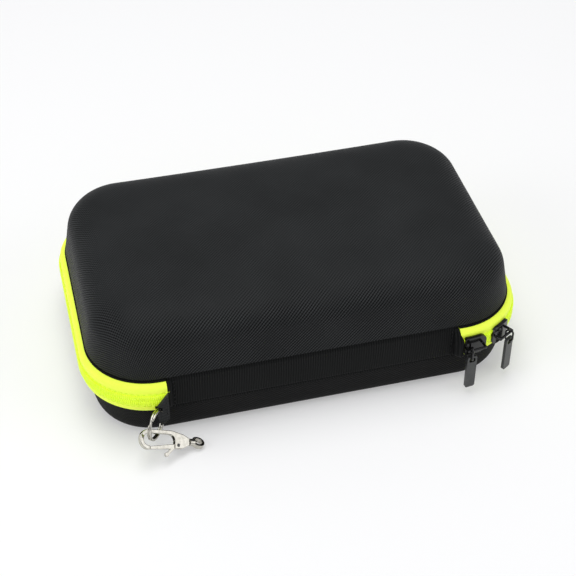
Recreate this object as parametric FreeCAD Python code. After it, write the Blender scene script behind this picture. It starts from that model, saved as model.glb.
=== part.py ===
"""Zipped travel case for a hair clipper, with a snap hook on a split ring.

The frame: X runs left to right along the hinge side, Y runs to the back, Z is up.
The origin is the middle of the base's underside. The hinge side faces -Y.
All lengths are millimetres and all angles are degrees.
"""

import FreeCAD, Part
import math
import os

os.makedirs("parts", exist_ok=True)

Vector = FreeCAD.Vector
UP = Vector(0, 0, 1)
ORIGIN = Vector(0, 0, 0)

# Overall size of the case, over the zip band
case_length = 220.0
case_width = 139.2
corner_radius = 34.8
rim_inset = 3.9

# Heights of the two rims and of the top
base_rim_z = 19.2
lid_rim_z = 38.05
case_height = 69.9

# Outer form of the lid: leaning wall, then two arcs to the crown
lid_wall_height = 15.55
lid_wall_lean = 2.8
lid_blend_angle = 47.0

# Outer form of the base: short wall, then two arcs to the flat bottom
base_wall_height = 8.9
base_wall_lean = 1.3
base_rounding_width = 12.9
base_blend_angle = 40.0

# Layers of both shells, from outside to inside
skin_thickness = 0.8
eva_thickness = 4.0
lining_thickness = 0.7
cut_margin = 2.0

# Bindings that cover the inner edges of both rims
binding_thickness = 0.9
binding_height = 3.6

# Spine between the two creases of the hinge
spine_length = 144.0
spine_proud = 0.3
spine_panel_thickness = 1.1
spine_lining_thickness = 0.6
crease_gap = 0.45
lining_setback = 0.2

# Zip tape and coil
tape_thickness = 0.8
tape_face_drop = 0.8
tape_bend_radius = 2.1
tape_flange_setback = 0.5
tape_flange_gap = 0.1
tape_edge_half = 1.6
coil_width = 2.8
coil_half_gap = 0.15
neck_gap_half = 1.95
band_end_gap = 0.3
stretch_angle = 52.0
lower_band_gap = 1.2

# Slider body
slider_length = 11.5
slider_width = 10.8
slider_plate = 1.1
slider_clearance = 0.3
slider_nose_radius = 4.0
slider_rear_radius = 1.0
slider_flange = 1.5
slider_neck_length = 3.2
slider_neck_height = 1.2
slider_neck_lift = 0.45
front_slider_angle = -82.5
rear_slider_angle = -58.0

# Bridge on the slider, wire link and pull tab
bridge_wire = 1.4
bridge_rise = 2.9
link_wire = 1.0
link_width = 3.6
link_height = 7.0
link_twist = 20.0
link_offset = 3.5
tab_width = 5.2
tab_length = 20.5
tab_thickness = 1.6
tab_hole_width = 3.2
tab_hole_height = 2.6
tab_strip = 1.0
tab_hang_gap = 0.65
tab_corner = 1.2

# Webbing loop at the left end of the spine
webbing_thickness = 1.5
webbing_top_z = 33.5
webbing_seam_low_z = 17.5
webbing_fold_width = 6.6
webbing_fold_top_z = 24.2
webbing_fold_low_z = 12.6
webbing_lower_width = 4.5
webbing_clearance = 0.35

# Split ring that hangs in the webbing loop
ring_outer_radius = 8.0
ring_radial = 1.3
ring_axial = 2.0
ring_low_z = 10.4
ring_heading = 54.4
ring_back_gap = 2.9
ring_back_x = 3.35
ring_room = 0.35
ring_swing = 30.0

# Snap hook, measured from the middle of its swivel eye
hook_length = 31.0
hook_width = 9.7
hook_arm = 1.9
hook_half_thickness = 1.25
hook_mouth_back = 14.2
hook_tip_gap = 0.3
neck_start = 4.9
neck_half = 1.7
shoulder_start = 8.2
shoulder_half = 3.3
pivot_along = 10.8
pivot_aside = 1.9
pivot_radius = 0.6
pivot_room = 0.12
lever_half_thickness = 0.7
lever_room = 0.25
lever_arm = 1.5
lever_hub = 1.7
thumb_along = 16.6
thumb_aside = 6.6
thumb_radius = 1.1
spring_thickness = 0.35
eye_outer = 3.2
eye_inner = 1.9
eye_half_thickness = 1.1
collar_radius = 1.8
collar_length = 1.8
stud_radius = 0.7
stud_room = 0.25
stud_head_radius = 1.1
stud_head_length = 0.7
stud_inset = 1.0
hook_roll = -37.0
hook_pitch = 26.0
hook_yaw = 6.0
eye_right_of_ring = 18.629
eye_before_ring = 2.124
eye_z = 2.75

# Foam insert in the base and the mesh pocket in the lid
foam_clearance = 0.3
foam_side_clearance = 0.6
foam_top_z = 27.0
foam_floor = 2.7
recess_margin = 9.0
recess_web = 8.0
recess_corner = 9.0
clipper_recess_width = 50.0
accessory_count = 3
net_z = 44.0
net_thickness = 0.8
net_mouth = 14.0
net_seat_gap = 0.1
elastic_radius = 1.4

# Small allowances used while shaping
touching = 0.01
upright_share = 0.9
fillet_share = 0.49
tunnel_steps = 5

# Places that follow from the driving sizes
corner_x = case_length / 2 - corner_radius
corner_y = case_width / 2 - corner_radius
rim_radius = corner_radius - rim_inset
rim_y = case_width / 2 - rim_inset
middle_z = (base_rim_z + lid_rim_z) / 2
spine_half = spine_length / 2
shell_thickness = skin_thickness + eva_thickness + lining_thickness
coil_outer = rim_inset
tape_outer = coil_outer - tape_face_drop
tape_inner = tape_outer - tape_thickness
tape_flange = shell_thickness - tape_flange_setback
foam_side_gap = shell_thickness + lining_setback + binding_thickness + foam_side_clearance
ring_centre_z = ring_low_z + ring_outer_radius


def rad(angle):
    return math.radians(angle)


def save(shape, node):
    shape.exportStep("parts/" + node + ".step")


def moved(shape, offset):
    copy = shape.copy()
    copy.translate(offset)
    return copy


def turned(shape, centre, axis, angle):
    copy = shape.copy()
    copy.rotate(centre, axis, angle)
    return copy


def joined(shapes):
    whole = shapes[0].fuse(shapes[1:]) if len(shapes) > 1 else shapes[0]
    return whole.removeSplitter()


def outline_face(points):
    """Flat face through corner points given in order."""
    return Part.Face(Part.makePolygon(points + [points[0]]))


def section(pairs):
    """Flat face in the XZ plane from pairs of distance and height."""
    return outline_face([Vector(out, 0, z) for out, z in pairs])


def block(low, high):
    size = high - low
    return Part.makeBox(size.x, size.y, size.z, low)


def rounded_prism(low, high, radius):
    """Box with its four upright edges rounded, no wider than its walls allow."""
    solid = block(low, high)
    room = min(high.x - low.x, high.y - low.y) * fillet_share
    upright = [edge for edge in solid.Edges if abs(edge.tangentAt(edge.FirstParameter).z) > upright_share]
    return solid.makeFillet(min(radius, room), upright)


def rod(start, end, radius):
    way = end - start
    return Part.makeCylinder(radius, way.Length, start, way)


# Sections are carried round the plan of the case: X in a section is the
# distance from a corner's centre, and each corner is a quarter turn.

def corner_centre(heading):
    """Centre of the corner that a heading in degrees falls in."""
    turn = heading % 360.0
    x = corner_x if turn < 90.0 or turn >= 270.0 else -corner_x
    y = corner_y if turn < 180.0 else -corner_y
    return Vector(x, y, 0)


def corner_sweep(face, start, sweep):
    """Section turned about the centre of one corner."""
    solid = face.revolve(ORIGIN, UP, sweep)
    return moved(turned(solid, ORIGIN, UP, start), corner_centre(start))


def straight_sweep(face, heading, start, length):
    """Section pushed along a side, to the left of its outward heading."""
    solid = face.extrude(Vector(0, length, 0))
    return moved(turned(solid, ORIGIN, UP, heading), start)


def side_run(face, heading):
    """Section along the whole side that faces a heading of 0, 90, 180 or 270."""
    along_x = heading % 180 == 90
    length = 2 * corner_x if along_x else 2 * corner_y
    return straight_sweep(face, heading, corner_centre(heading - 1), length)


def round_pieces(face):
    """Section along each side and round each corner, as separate pieces."""
    pieces = []
    for heading in (0, 90, 180, 270):
        pieces.append(side_run(face, heading))
        pieces.append(corner_sweep(face, heading, 90.0))
    return pieces


def ring_round(face):
    """Section carried all the way round the case."""
    return joined(round_pieces(face))


def filled_round(face, low_z, high_z):
    """Section that starts at the corner centres, with the middle filled."""
    middle = block(Vector(-corner_x, -corner_y, low_z), Vector(corner_x, corner_y, high_z))
    return joined([middle] + round_pieces(face))


def dish_section(depth_in, wall_height, wall_lean, width, height, blend, extra):
    """Section of a dish that opens downward at height 0.

    depth_in is how far it lies inside the outer face. The wall leans in,
    then a tight and a wide arc carry it to the level crown.
    """
    lean = math.atan2(wall_height, wall_lean)
    bend = rad(blend)
    rise = height - wall_height
    a = math.sin(lean) - math.sin(bend)
    b = math.sin(bend)
    c = math.cos(bend) - math.cos(lean)
    d = 1.0 - math.cos(bend)
    tight = (width * d - rise * b) / (a * d - b * c)
    wide = (rise * a - width * c) / (a * d - b * c)
    top = Vector(rim_radius - wall_lean, 0, wall_height)
    centre_one = top - Vector(math.sin(lean), 0, math.cos(lean)) * tight
    join = centre_one + Vector(math.sin(bend), 0, math.cos(bend)) * tight
    centre_two = join - Vector(math.sin(bend), 0, math.cos(bend)) * wide

    def on_arc(centre, radius, angle):
        return centre + Vector(math.sin(angle), 0, math.cos(angle)) * (radius - depth_in)

    wall_top = on_arc(centre_one, tight, lean)
    run_down = (wall_top.z + extra) / math.sin(lean)
    foot = wall_top + Vector(math.cos(lean), 0, -math.sin(lean)) * run_down
    middle_one = on_arc(centre_one, tight, (lean + bend) / 2)
    blend_point = on_arc(centre_one, tight, bend)
    middle_two = on_arc(centre_two, wide, bend / 2)
    crown_edge = on_arc(centre_two, wide, 0.0)
    crown = Vector(0, 0, crown_edge.z)
    low = Vector(0, 0, foot.z)
    edges = [
        Part.LineSegment(foot, wall_top).toShape(),
        Part.Arc(wall_top, middle_one, blend_point).toShape(),
        Part.Arc(blend_point, middle_two, crown_edge).toShape(),
    ]
    if crown_edge.x > touching:
        edges.append(Part.LineSegment(crown_edge, crown).toShape())
    else:
        crown = crown_edge
    edges.append(Part.LineSegment(crown, low).toShape())
    edges.append(Part.LineSegment(low, foot).toShape())
    return Part.Face(Part.Wire(edges)), foot.z, crown.z


def lid_volume(depth_in, extra):
    """Solid inside the lid's outer face, reaching below its rim by extra."""
    height = case_height - lid_rim_z
    face, low, high = dish_section(depth_in, lid_wall_height, lid_wall_lean,
                                   rim_radius - lid_wall_lean, height, lid_blend_angle, extra)
    return moved(filled_round(face, low, high), UP * lid_rim_z)


def base_volume(depth_in, extra):
    """Solid inside the base's outer face, reaching above its rim by extra."""
    face, low, high = dish_section(depth_in, base_wall_height, base_wall_lean,
                                   base_rounding_width, base_rim_z, base_blend_angle, extra)
    upside_down = turned(filled_round(face, low, high), ORIGIN, Vector(1, 0, 0), 180.0)
    return moved(upside_down, UP * base_rim_z)


def shell_layers(volume, names):
    """Skin, foam shell and lining of one half, each cut by the next volume in."""
    depths = [0.0, skin_thickness, skin_thickness + eva_thickness, shell_thickness]
    for index, node in enumerate(names):
        outer = volume(depths[index], 0.0)
        inner = volume(depths[index + 1], cut_margin)
        save(outer.cut(inner), node)


def make_shells():
    shell_layers(lid_volume, ["lid_outer_skin", "lid_eva_shell", "lid_lining"])
    shell_layers(base_volume, ["base_outer_skin", "base_eva_shell", "base_lining"])


def make_bindings():
    """Thin strips over the inner edges of the lining at both rims."""
    outer = rim_radius - shell_thickness - lining_setback
    inner = outer - binding_thickness
    base_low = base_rim_z - binding_height
    lid_high = lid_rim_z + binding_height
    base_lean = base_wall_lean * binding_height / base_wall_height
    lid_lean = lid_wall_lean * binding_height / lid_wall_height
    base_face = section([(outer, base_rim_z), (outer - base_lean, base_low),
                         (inner - base_lean, base_low), (inner, base_rim_z)])
    lid_face = section([(outer, lid_rim_z), (outer - lid_lean, lid_high),
                        (inner - lid_lean, lid_high), (inner, lid_rim_z)])
    save(ring_round(base_face), "base_rim_binding")
    save(ring_round(lid_face), "lid_rim_binding")


def make_spine():
    """Stiffened panel between the two creases, and its lining."""
    face_y = -rim_y - spine_proud
    back_y = face_y + spine_panel_thickness
    low = Vector(-spine_half, face_y, base_rim_z + crease_gap)
    high = Vector(spine_half, back_y, lid_rim_z - crease_gap)
    save(block(low, high), "spine_panel")
    inset = Vector(lining_setback, 0, lining_setback)
    lining_low = Vector(low.x, back_y, low.z) + inset
    lining_high = Vector(high.x, back_y + spine_lining_thickness, high.z) - inset
    save(block(lining_low, lining_high), "spine_lining")


def mirrored_heights(face):
    """Same section on the other side of the chain's middle height."""
    return face.mirror(Vector(0, 0, middle_z), UP)


def tape_section(edge_half):
    """Upper tape: upright by the coil, then bent in under the lid's rim."""
    outer = rim_radius + tape_outer
    inner = rim_radius + tape_inner
    roof = lid_rim_z - tape_flange_gap
    under = roof - tape_thickness
    edge = middle_z + edge_half
    flange_end = rim_radius - tape_flange
    big = tape_bend_radius + tape_thickness
    small = tape_bend_radius
    centre = Vector(outer - big, 0, roof - big)
    diagonal = Vector(math.sin(rad(45.0)), 0, math.cos(rad(45.0)))
    corners = [
        Part.LineSegment(Vector(inner, 0, edge), Vector(outer, 0, edge)),
        Part.LineSegment(Vector(outer, 0, edge), Vector(outer, 0, centre.z)),
        Part.Arc(Vector(outer, 0, centre.z), centre + diagonal * big, Vector(centre.x, 0, roof)),
        Part.LineSegment(Vector(centre.x, 0, roof), Vector(flange_end, 0, roof)),
        Part.LineSegment(Vector(flange_end, 0, roof), Vector(flange_end, 0, under)),
        Part.LineSegment(Vector(flange_end, 0, under), Vector(centre.x, 0, under)),
        Part.Arc(Vector(centre.x, 0, under), centre + diagonal * small, Vector(inner, 0, centre.z)),
        Part.LineSegment(Vector(inner, 0, centre.z), Vector(inner, 0, edge)),
    ]
    return Part.Face(Part.Wire([line.toShape() for line in corners]))


def coil_section(half_gap):
    """Upper half of the coil, sewn to the outer face of the tape."""
    low = middle_z + half_gap
    high = middle_z + coil_half_gap + coil_width
    inner = rim_radius + tape_outer
    outer = rim_radius + coil_outer
    bevel = (outer - inner) / 2
    return section([(inner, low), (outer - bevel, low), (outer, low + bevel),
                    (outer, high - bevel), (outer - bevel, high), (inner, high)])


def main_run(face, corner_face, right_angle, left_angle):
    """Band from the right front corner, round the back, to the left front corner."""
    return [
        corner_sweep(corner_face, right_angle, -right_angle),
        side_run(face, 0),
        corner_sweep(face, 0, 90.0),
        side_run(face, 90),
        corner_sweep(face, 90, 90.0),
        side_run(face, 180),
        corner_sweep(face, 180, left_angle - 180.0),
    ]


def front_length():
    """Straight piece of band between the spine's end and the corner's centre."""
    return corner_x - spine_half - band_end_gap


def right_straight(face):
    start = Vector(corner_x - front_length(), -corner_y, 0)
    return straight_sweep(face, 270, start, front_length())


def left_straight(face):
    start = Vector(-corner_x, -corner_y, 0)
    return straight_sweep(face, 270, start, front_length())


def make_upper_band():
    """Upper tape and coil: the run on the lid, and the stretches that give at the hinge."""
    right = stretch_angle - 90.0
    left = 270.0 - stretch_angle
    run_faces = {"tape": tape_section(tape_edge_half), "coil": coil_section(coil_half_gap)}
    end_faces = {"tape": tape_section(neck_gap_half), "coil": coil_section(neck_gap_half)}
    for kind in ("tape", "coil"):
        end = end_faces[kind]
        save(joined(main_run(run_faces[kind], end, right, left)), "upper_zip_" + kind)
        right_end = [right_straight(end), corner_sweep(end, -90, stretch_angle)]
        left_end = [left_straight(end), corner_sweep(end, left, stretch_angle)]
        save(joined(right_end), "upper_" + kind + "_end_right")
        save(joined(left_end), "upper_" + kind + "_end_left")


def make_lower_band():
    """Lower tape and coil on the base, stopped short beside the webbing loop."""
    beyond_corner = webbing_fold_width + lower_band_gap - front_length()
    left = 270.0 - math.degrees(math.asin(max(beyond_corner, 0.0) / corner_radius))
    corner = Vector(-corner_x, -corner_y, 0)
    for kind, upper in (("tape", tape_section(tape_edge_half)), ("coil", coil_section(coil_half_gap))):
        face = mirrored_heights(upper)
        pieces = [right_straight(face)] + main_run(face, face, -90.0, left)
        if beyond_corner < 0.0:
            pieces.append(straight_sweep(face, 270, corner, -beyond_corner))
        save(joined(pieces), "lower_zip_" + kind)


def out_at(angle, beyond):
    """Point at the chain's middle height, beyond the rim, at a right front heading."""
    reach = rim_radius + beyond
    offset = Vector(math.cos(rad(angle)), math.sin(rad(angle)), 0) * reach
    return Vector(corner_x, -corner_y, middle_z) + offset


def sector(angle, half_arc, inner, outer, low, high):
    """Piece of a ring about the right front corner, between two distances from the rim."""
    face = section([(rim_radius + inner, low), (rim_radius + outer, low),
                    (rim_radius + outer, high), (rim_radius + inner, high)])
    half = math.degrees(half_arc / (rim_radius + outer))
    solid = turned(face.revolve(ORIGIN, UP, 2 * half), ORIGIN, UP, angle - half)
    return moved(solid, Vector(corner_x, -corner_y, 0))


def upright_edges(solid, x):
    """Edges along Z that stand at one X place."""
    return [e for e in solid.Edges if abs(e.CenterOfMass.x - x) < touching
            and abs(e.tangentAt(e.FirstParameter).z) > upright_share]


def slider_outline(angle, nose):
    """Upright outline of the slider, rounded wide at its nose, pushed through the band."""
    half = slider_length / 2
    low = Vector(-half, -slider_width / 2, 0)
    high = Vector(half, slider_width / 2, 2 * corner_radius)
    prism = block(low, high)
    prism = prism.makeFillet(slider_nose_radius, upright_edges(prism, nose * half))
    prism = prism.makeFillet(slider_rear_radius, upright_edges(prism, -nose * half))
    tangent = Vector(-math.sin(rad(angle)), math.cos(rad(angle)), 0)
    outward = Vector(math.cos(rad(angle)), math.sin(rad(angle)), 0)
    place = FreeCAD.Matrix(tangent.x, 0, outward.x, corner_x,
                           tangent.y, 0, outward.y, -corner_y,
                           0, 1, 0, middle_z,
                           0, 0, 0, 1)
    prism.Placement = FreeCAD.Placement(place)
    return prism


def bridge(angle, nose):
    """Bent wire arch that stands on the outer plate."""
    base_out = tape_outer + slider_cavity_top() + slider_plate / 2
    top_out = base_out + slider_plate / 2 + bridge_rise
    tangent = Vector(-math.sin(rad(angle)), math.cos(rad(angle)), 0)
    outward = Vector(math.cos(rad(angle)), math.sin(rad(angle)), 0)
    rear = tangent * (-nose * (slider_length / 2 - bridge_wire / 4))
    front = tangent * (nose * (slider_length / 2 - slider_nose_radius / 2))
    middle = out_at(angle, 0)
    rear_foot = middle + rear + outward * base_out
    rear_top = middle + rear + outward * top_out
    front_top = middle + front + outward * top_out
    front_foot = middle + front + outward * base_out
    legs = [rod(rear_foot, rear_top, bridge_wire / 2), rod(rear_top, front_top, bridge_wire / 2),
            rod(front_top, front_foot, bridge_wire / 2)]
    knees = [Part.makeSphere(bridge_wire / 2, rear_top), Part.makeSphere(bridge_wire / 2, front_top)]
    return joined(legs + knees)


def slider_cavity_top():
    """Distance from the tape's outer face to the underside of the outer plate."""
    return coil_outer - tape_outer + slider_clearance


def make_slider(node, angle, nose):
    """Slider: two plates joined by a neck, with flanges beside the coil."""
    plate_low = tape_outer + slider_cavity_top()
    plate_high = plate_low + slider_plate
    under_high = tape_inner - slider_clearance
    under_low = under_high - slider_plate
    half = slider_width / 2
    low = middle_z - half
    high = middle_z + half
    reach = slider_length
    plates = sector(angle, reach, plate_low, plate_high, low, high)
    under = sector(angle, reach, under_low, under_high, low, high)
    flange_low = tape_outer + slider_clearance
    top_flange = sector(angle, reach, flange_low, plate_high, high - slider_flange, high)
    low_flange = sector(angle, reach, flange_low, plate_high, low, low + slider_flange)
    whole = joined([plates, top_flange, low_flange]).common(slider_outline(angle, nose))
    lower = under.common(slider_outline(angle, nose))
    turn = math.degrees((slider_length / 2 - slider_neck_length / 2) / (rim_radius + plate_high))
    neck_low = middle_z + slider_neck_lift
    neck = sector(angle + nose * turn, slider_neck_length / 2, under_low, plate_high,
                  neck_low, neck_low + slider_neck_height)
    neck = neck.common(slider_outline(angle, nose))
    save(joined([whole, lower, neck, bridge(angle, nose)]), node)


def loop_wire(centre, across, upward, width, height, thickness):
    """Closed wire loop: two half circles joined by straight sides."""
    radius = width / 2
    rise = height / 2 - radius
    left = centre - across * radius
    right = centre + across * radius
    top = centre + upward * (rise + radius)
    bottom = centre - upward * (rise + radius)
    edges = [
        Part.LineSegment(left - upward * rise, left + upward * rise).toShape(),
        Part.Arc(left + upward * rise, top, right + upward * rise).toShape(),
        Part.LineSegment(right + upward * rise, right - upward * rise).toShape(),
        Part.Arc(right - upward * rise, bottom, left - upward * rise).toShape(),
    ]
    path = Part.Wire(edges)
    profile = Part.Wire([Part.makeCircle(thickness / 2, left - upward * rise, upward)])
    return path.makePipeShell([profile], True, True)


def pull_frame(angle, nose):
    """Directions and hanging point of one slider's pull."""
    tangent = Vector(-math.sin(rad(angle)), math.cos(rad(angle)), 0)
    outward = Vector(math.cos(rad(angle)), math.sin(rad(angle)), 0)
    bar_out = tape_outer + slider_cavity_top() + slider_plate + bridge_rise
    bar = out_at(angle, bar_out) - tangent * (nose * link_offset)
    return tangent, outward, bar


def make_pull(suffix, angle, nose):
    """Wire link round the bridge's bar, and the flat tab that hangs on it."""
    tangent, outward, bar = pull_frame(angle, nose)
    across = outward * math.cos(rad(link_twist)) - tangent * (nose * math.sin(rad(link_twist)))
    loop_top = bar.z + bridge_wire / 2 + slider_clearance / 2 + link_wire / 2
    centre = Vector(bar.x, bar.y, loop_top - link_height / 2)
    link = loop_wire(centre, across, UP, link_width, link_height, link_wire)
    save(link, "pull_link_" + suffix)

    hole_high = loop_top - link_height + link_wire / 2 + tab_hang_gap
    hole_low = hole_high - tab_hole_height
    tab_top = hole_high + tab_strip
    tab_low = tab_top - tab_length
    half = tab_width / 2
    low = Vector(-half, -tab_thickness / 2, tab_low)
    high = Vector(half, tab_thickness / 2, tab_top)
    plate = block(low, high)
    ends = [e for e in plate.Edges if abs(e.tangentAt(e.FirstParameter).y) > upright_share]
    plate = plate.makeFillet(tab_corner, ends)
    hole_half = tab_hole_width / 2
    hole = block(Vector(-hole_half, -tab_width, hole_low), Vector(hole_half, tab_width, hole_high))
    hole_ends = [e for e in hole.Edges if abs(e.tangentAt(e.FirstParameter).y) > upright_share]
    hole = hole.makeFillet(hole_half / 2, hole_ends)
    plate = plate.cut(hole)
    plate = turned(plate, ORIGIN, UP, angle + 90.0)
    save(moved(plate, Vector(bar.x, bar.y, 0)), "pull_tab_" + suffix)


def make_sliders():
    make_slider("slider_front_body", front_slider_angle, 1)
    make_slider("slider_rear_body", rear_slider_angle, -1)
    make_pull("front", front_slider_angle, 1)
    make_pull("rear", rear_slider_angle, -1)


def ring_axis_point():
    """Where the split ring's back side stands in the webbing loop."""
    return Vector(-spine_half - ring_back_x, -rim_y - ring_back_gap, ring_centre_z)


def ring_centre():
    mean = ring_outer_radius - ring_radial / 2
    toward_back = Vector(math.cos(rad(ring_heading)), math.sin(rad(ring_heading)), 0)
    return ring_axis_point() - toward_back * mean


def ring_body(extra):
    """Split ring as a flat double wire, made thicker all round by extra."""
    outer = ring_outer_radius + extra
    inner = ring_outer_radius - ring_radial - extra
    half = ring_axial / 2 + extra
    normal = Vector(math.sin(rad(ring_heading)), -math.cos(rad(ring_heading)), 0)
    start = ring_centre() - normal * half
    return Part.makeCylinder(outer, 2 * half, start, normal).cut(
        Part.makeCylinder(inner, 4 * half, start - normal * half, normal))


def make_split_ring():
    ring = ring_body(0.0)
    round_edges = [e for e in ring.Edges if isinstance(e.Curve, Part.Circle)]
    save(ring.makeFillet(ring_radial / 3, round_edges), "split_ring")


def make_webbing():
    """Folded webbing sewn into the seam, with a tunnel that the ring runs through."""
    seam_x = -spine_half - band_end_gap
    front_y = -case_width / 2 - webbing_clearance - webbing_thickness
    plate_y = -case_width / 2 - webbing_clearance
    back_y = -rim_y - webbing_clearance
    fold_x = seam_x - webbing_fold_width
    low_x = seam_x - webbing_lower_width
    leaf = [Vector(seam_x, front_y, webbing_top_z), Vector(fold_x, front_y, webbing_fold_top_z),
            Vector(low_x, front_y, webbing_fold_low_z), Vector(seam_x, front_y, webbing_seam_low_z)]
    plate = outline_face(leaf).extrude(Vector(0, plate_y - front_y, 0))
    under_z = middle_z - coil_half_gap - webbing_clearance
    cut_high = min(webbing_fold_top_z, under_z)
    body = outline_face(leaf).extrude(Vector(0, back_y - front_y, 0))
    keep = block(Vector(fold_x, front_y, webbing_fold_low_z), Vector(seam_x, back_y, cut_high))
    whole = joined([plate, body.common(keep)])
    back = ring_axis_point()
    for step in range(tunnel_steps):
        angle = -ring_swing * step / (tunnel_steps - 1)
        whole = whole.cut(turned(ring_body(ring_room), back, UP, angle))
    solids = sorted(whole.Solids, key=lambda solid: solid.Volume)
    save(solids[-1], "webbing_loop")


# The snap hook is drawn in its own plane: X runs from the swivel eye to the
# hook, Y points to the lever's side and Z stands on the hook's flat face.

def hook_place():
    """Rotation and place of the snap hook in the case's frame."""
    roll = FreeCAD.Rotation(Vector(1, 0, 0), hook_roll)
    pitch = FreeCAD.Rotation(Vector(0, 1, 0), -hook_pitch)
    yaw = FreeCAD.Rotation(UP, 180.0 + hook_yaw)
    centre = ring_centre()
    at = Vector(centre.x + eye_right_of_ring, centre.y - eye_before_ring, eye_z)
    return FreeCAD.Placement(at, yaw.multiply(pitch.multiply(roll)))


def eye_place():
    """Place of the swivel eye, turned level on the hook's axis."""
    pitch = FreeCAD.Rotation(Vector(0, 1, 0), -hook_pitch)
    yaw = FreeCAD.Rotation(UP, 180.0 + hook_yaw)
    return FreeCAD.Placement(hook_place().Base, yaw.multiply(pitch))


def placed(shape, place):
    copy = shape.copy()
    copy.Placement = place.multiply(shape.Placement)
    return copy


def slab(points, half):
    """Flat outline pushed to both sides of the hook's plane."""
    face = outline_face([Vector(x, y, -half) for x, y in points])
    return face.extrude(Vector(0, 0, 2 * half))


def disc(x, y, radius, half):
    return Part.makeCylinder(radius, 2 * half, Vector(x, y, -half))


def hook_solid():
    """Forged body: neck, shoulders, cheeks for the lever, and the open hook."""
    outer = hook_width / 2
    inner = outer - hook_arm
    bow = hook_length - outer
    back = hook_mouth_back
    thick = hook_half_thickness
    body = joined([
        slab([(neck_start, -neck_half), (shoulder_start, -shoulder_half), (back, -outer),
              (bow, -outer), (bow, outer), (back, outer), (shoulder_start, shoulder_half),
              (neck_start, neck_half)], thick),
        disc(bow, 0, outer, thick),
    ])
    opening = joined([
        slab([(back + inner / 2, -inner), (bow, -inner), (bow, inner),
              (back + inner / 2, inner)], 2 * thick),
        disc(bow, 0, inner, 2 * thick),
        disc(back + inner / 2, 0, inner, 2 * thick),
    ])
    mouth = block(Vector(shoulder_start, pivot_aside - lever_arm, -2 * thick),
                  Vector(bow - hook_tip_gap, 2 * outer, 2 * thick))
    cheek_end = pivot_along + lever_hub + lever_room
    cheeks = block(Vector(shoulder_start, pivot_aside - lever_arm, -thick),
                   Vector(cheek_end, pivot_aside + lever_hub, thick))
    slot_half = lever_half_thickness + lever_room
    slot = block(Vector(pivot_along - lever_hub - lever_room, -shoulder_half + hook_arm / 2, -slot_half),
                 Vector(bow - hook_tip_gap, 2 * outer, slot_half))
    far_arm = block(Vector(neck_start, -2 * outer, -2 * thick), Vector(hook_length, -inner, 2 * thick))
    solid = joined([body.cut(opening).cut(mouth), cheeks.common(body)])
    return solid.cut(slot.cut(far_arm))


def make_hook():
    place = hook_place()
    pin_hole = disc(pivot_along, pivot_aside, pivot_radius, 2 * hook_half_thickness)
    stud_low = Vector(neck_start - stud_inset, 0, 0)
    stud_high = Vector(shoulder_start - stud_inset, 0, 0)
    stud_bore = rod(stud_low, stud_high, stud_radius)
    body = hook_solid().cut(pin_hole).cut(stud_bore)
    save(placed(body, place), "clasp_body")

    pin = disc(pivot_along, pivot_aside, pivot_radius, hook_half_thickness)
    save(placed(pin, place), "lever_pin")

    head_start = eye_inner - stud_room - stud_head_length - stud_room
    head = rod(Vector(head_start, 0, 0), Vector(head_start + stud_head_length, 0, 0), stud_head_radius)
    shank = rod(Vector(head_start, 0, 0), stud_high, stud_radius)
    save(placed(joined([head, shank]), place), "swivel_stud")


def lever_solid():
    """Trigger: hub on the pin, latch arm to the hook's tip, and thumb piece."""
    bow = hook_length - hook_width / 2
    half = lever_half_thickness
    tip_y = hook_width / 2 - hook_arm / 2
    tip_x = bow - 2 * hook_tip_gap
    lift = lever_arm / 2
    arm = slab([(pivot_along, pivot_aside - lift), (tip_x, tip_y - lift),
                (tip_x, tip_y + lift), (pivot_along, pivot_aside + lever_hub)], half)
    thumb = slab([(pivot_along, pivot_aside), (pivot_along + lever_hub, pivot_aside),
                  (thumb_along + thumb_radius, thumb_aside),
                  (thumb_along - thumb_radius, thumb_aside)], half)
    hub = disc(pivot_along, pivot_aside, lever_hub, half)
    pad = disc(thumb_along, thumb_aside, thumb_radius, half)
    bore = disc(pivot_along, pivot_aside, pivot_radius + pivot_room, 2 * half)
    return joined([arm, thumb, hub, pad]).cut(bore)


def make_lever():
    place = hook_place()
    save(placed(lever_solid(), place), "clasp_lever")


def make_spring():
    """Leaf spring behind the lever's hub, in the slot of the body."""
    place = hook_place()
    start = Vector(pivot_along - lever_hub / 2, pivot_aside - lever_hub - lever_room - spring_thickness,
                   -lever_half_thickness)
    end = Vector(pivot_along + lever_hub, pivot_aside - lever_hub - lever_room, lever_half_thickness)
    save(placed(block(start, end), place), "lever_spring")


def make_eye():
    """Swivel eye: flat ring with a collar that turns on the stud."""
    flat = disc(0, 0, eye_outer, eye_half_thickness)
    collar_end = eye_outer + collar_length - 2 * stud_room
    collar = rod(Vector(eye_inner, 0, 0), Vector(collar_end, 0, 0), collar_radius)
    hole = disc(0, 0, eye_inner, 2 * eye_half_thickness)
    bore = rod(Vector(0, 0, 0), Vector(2 * eye_outer, 0, 0), stud_radius + stud_room)
    whole = flat.cut(hole).fuse(collar.cut(hole)).cut(bore)
    save(placed(whole, eye_place()), "swivel_eye")


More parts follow.
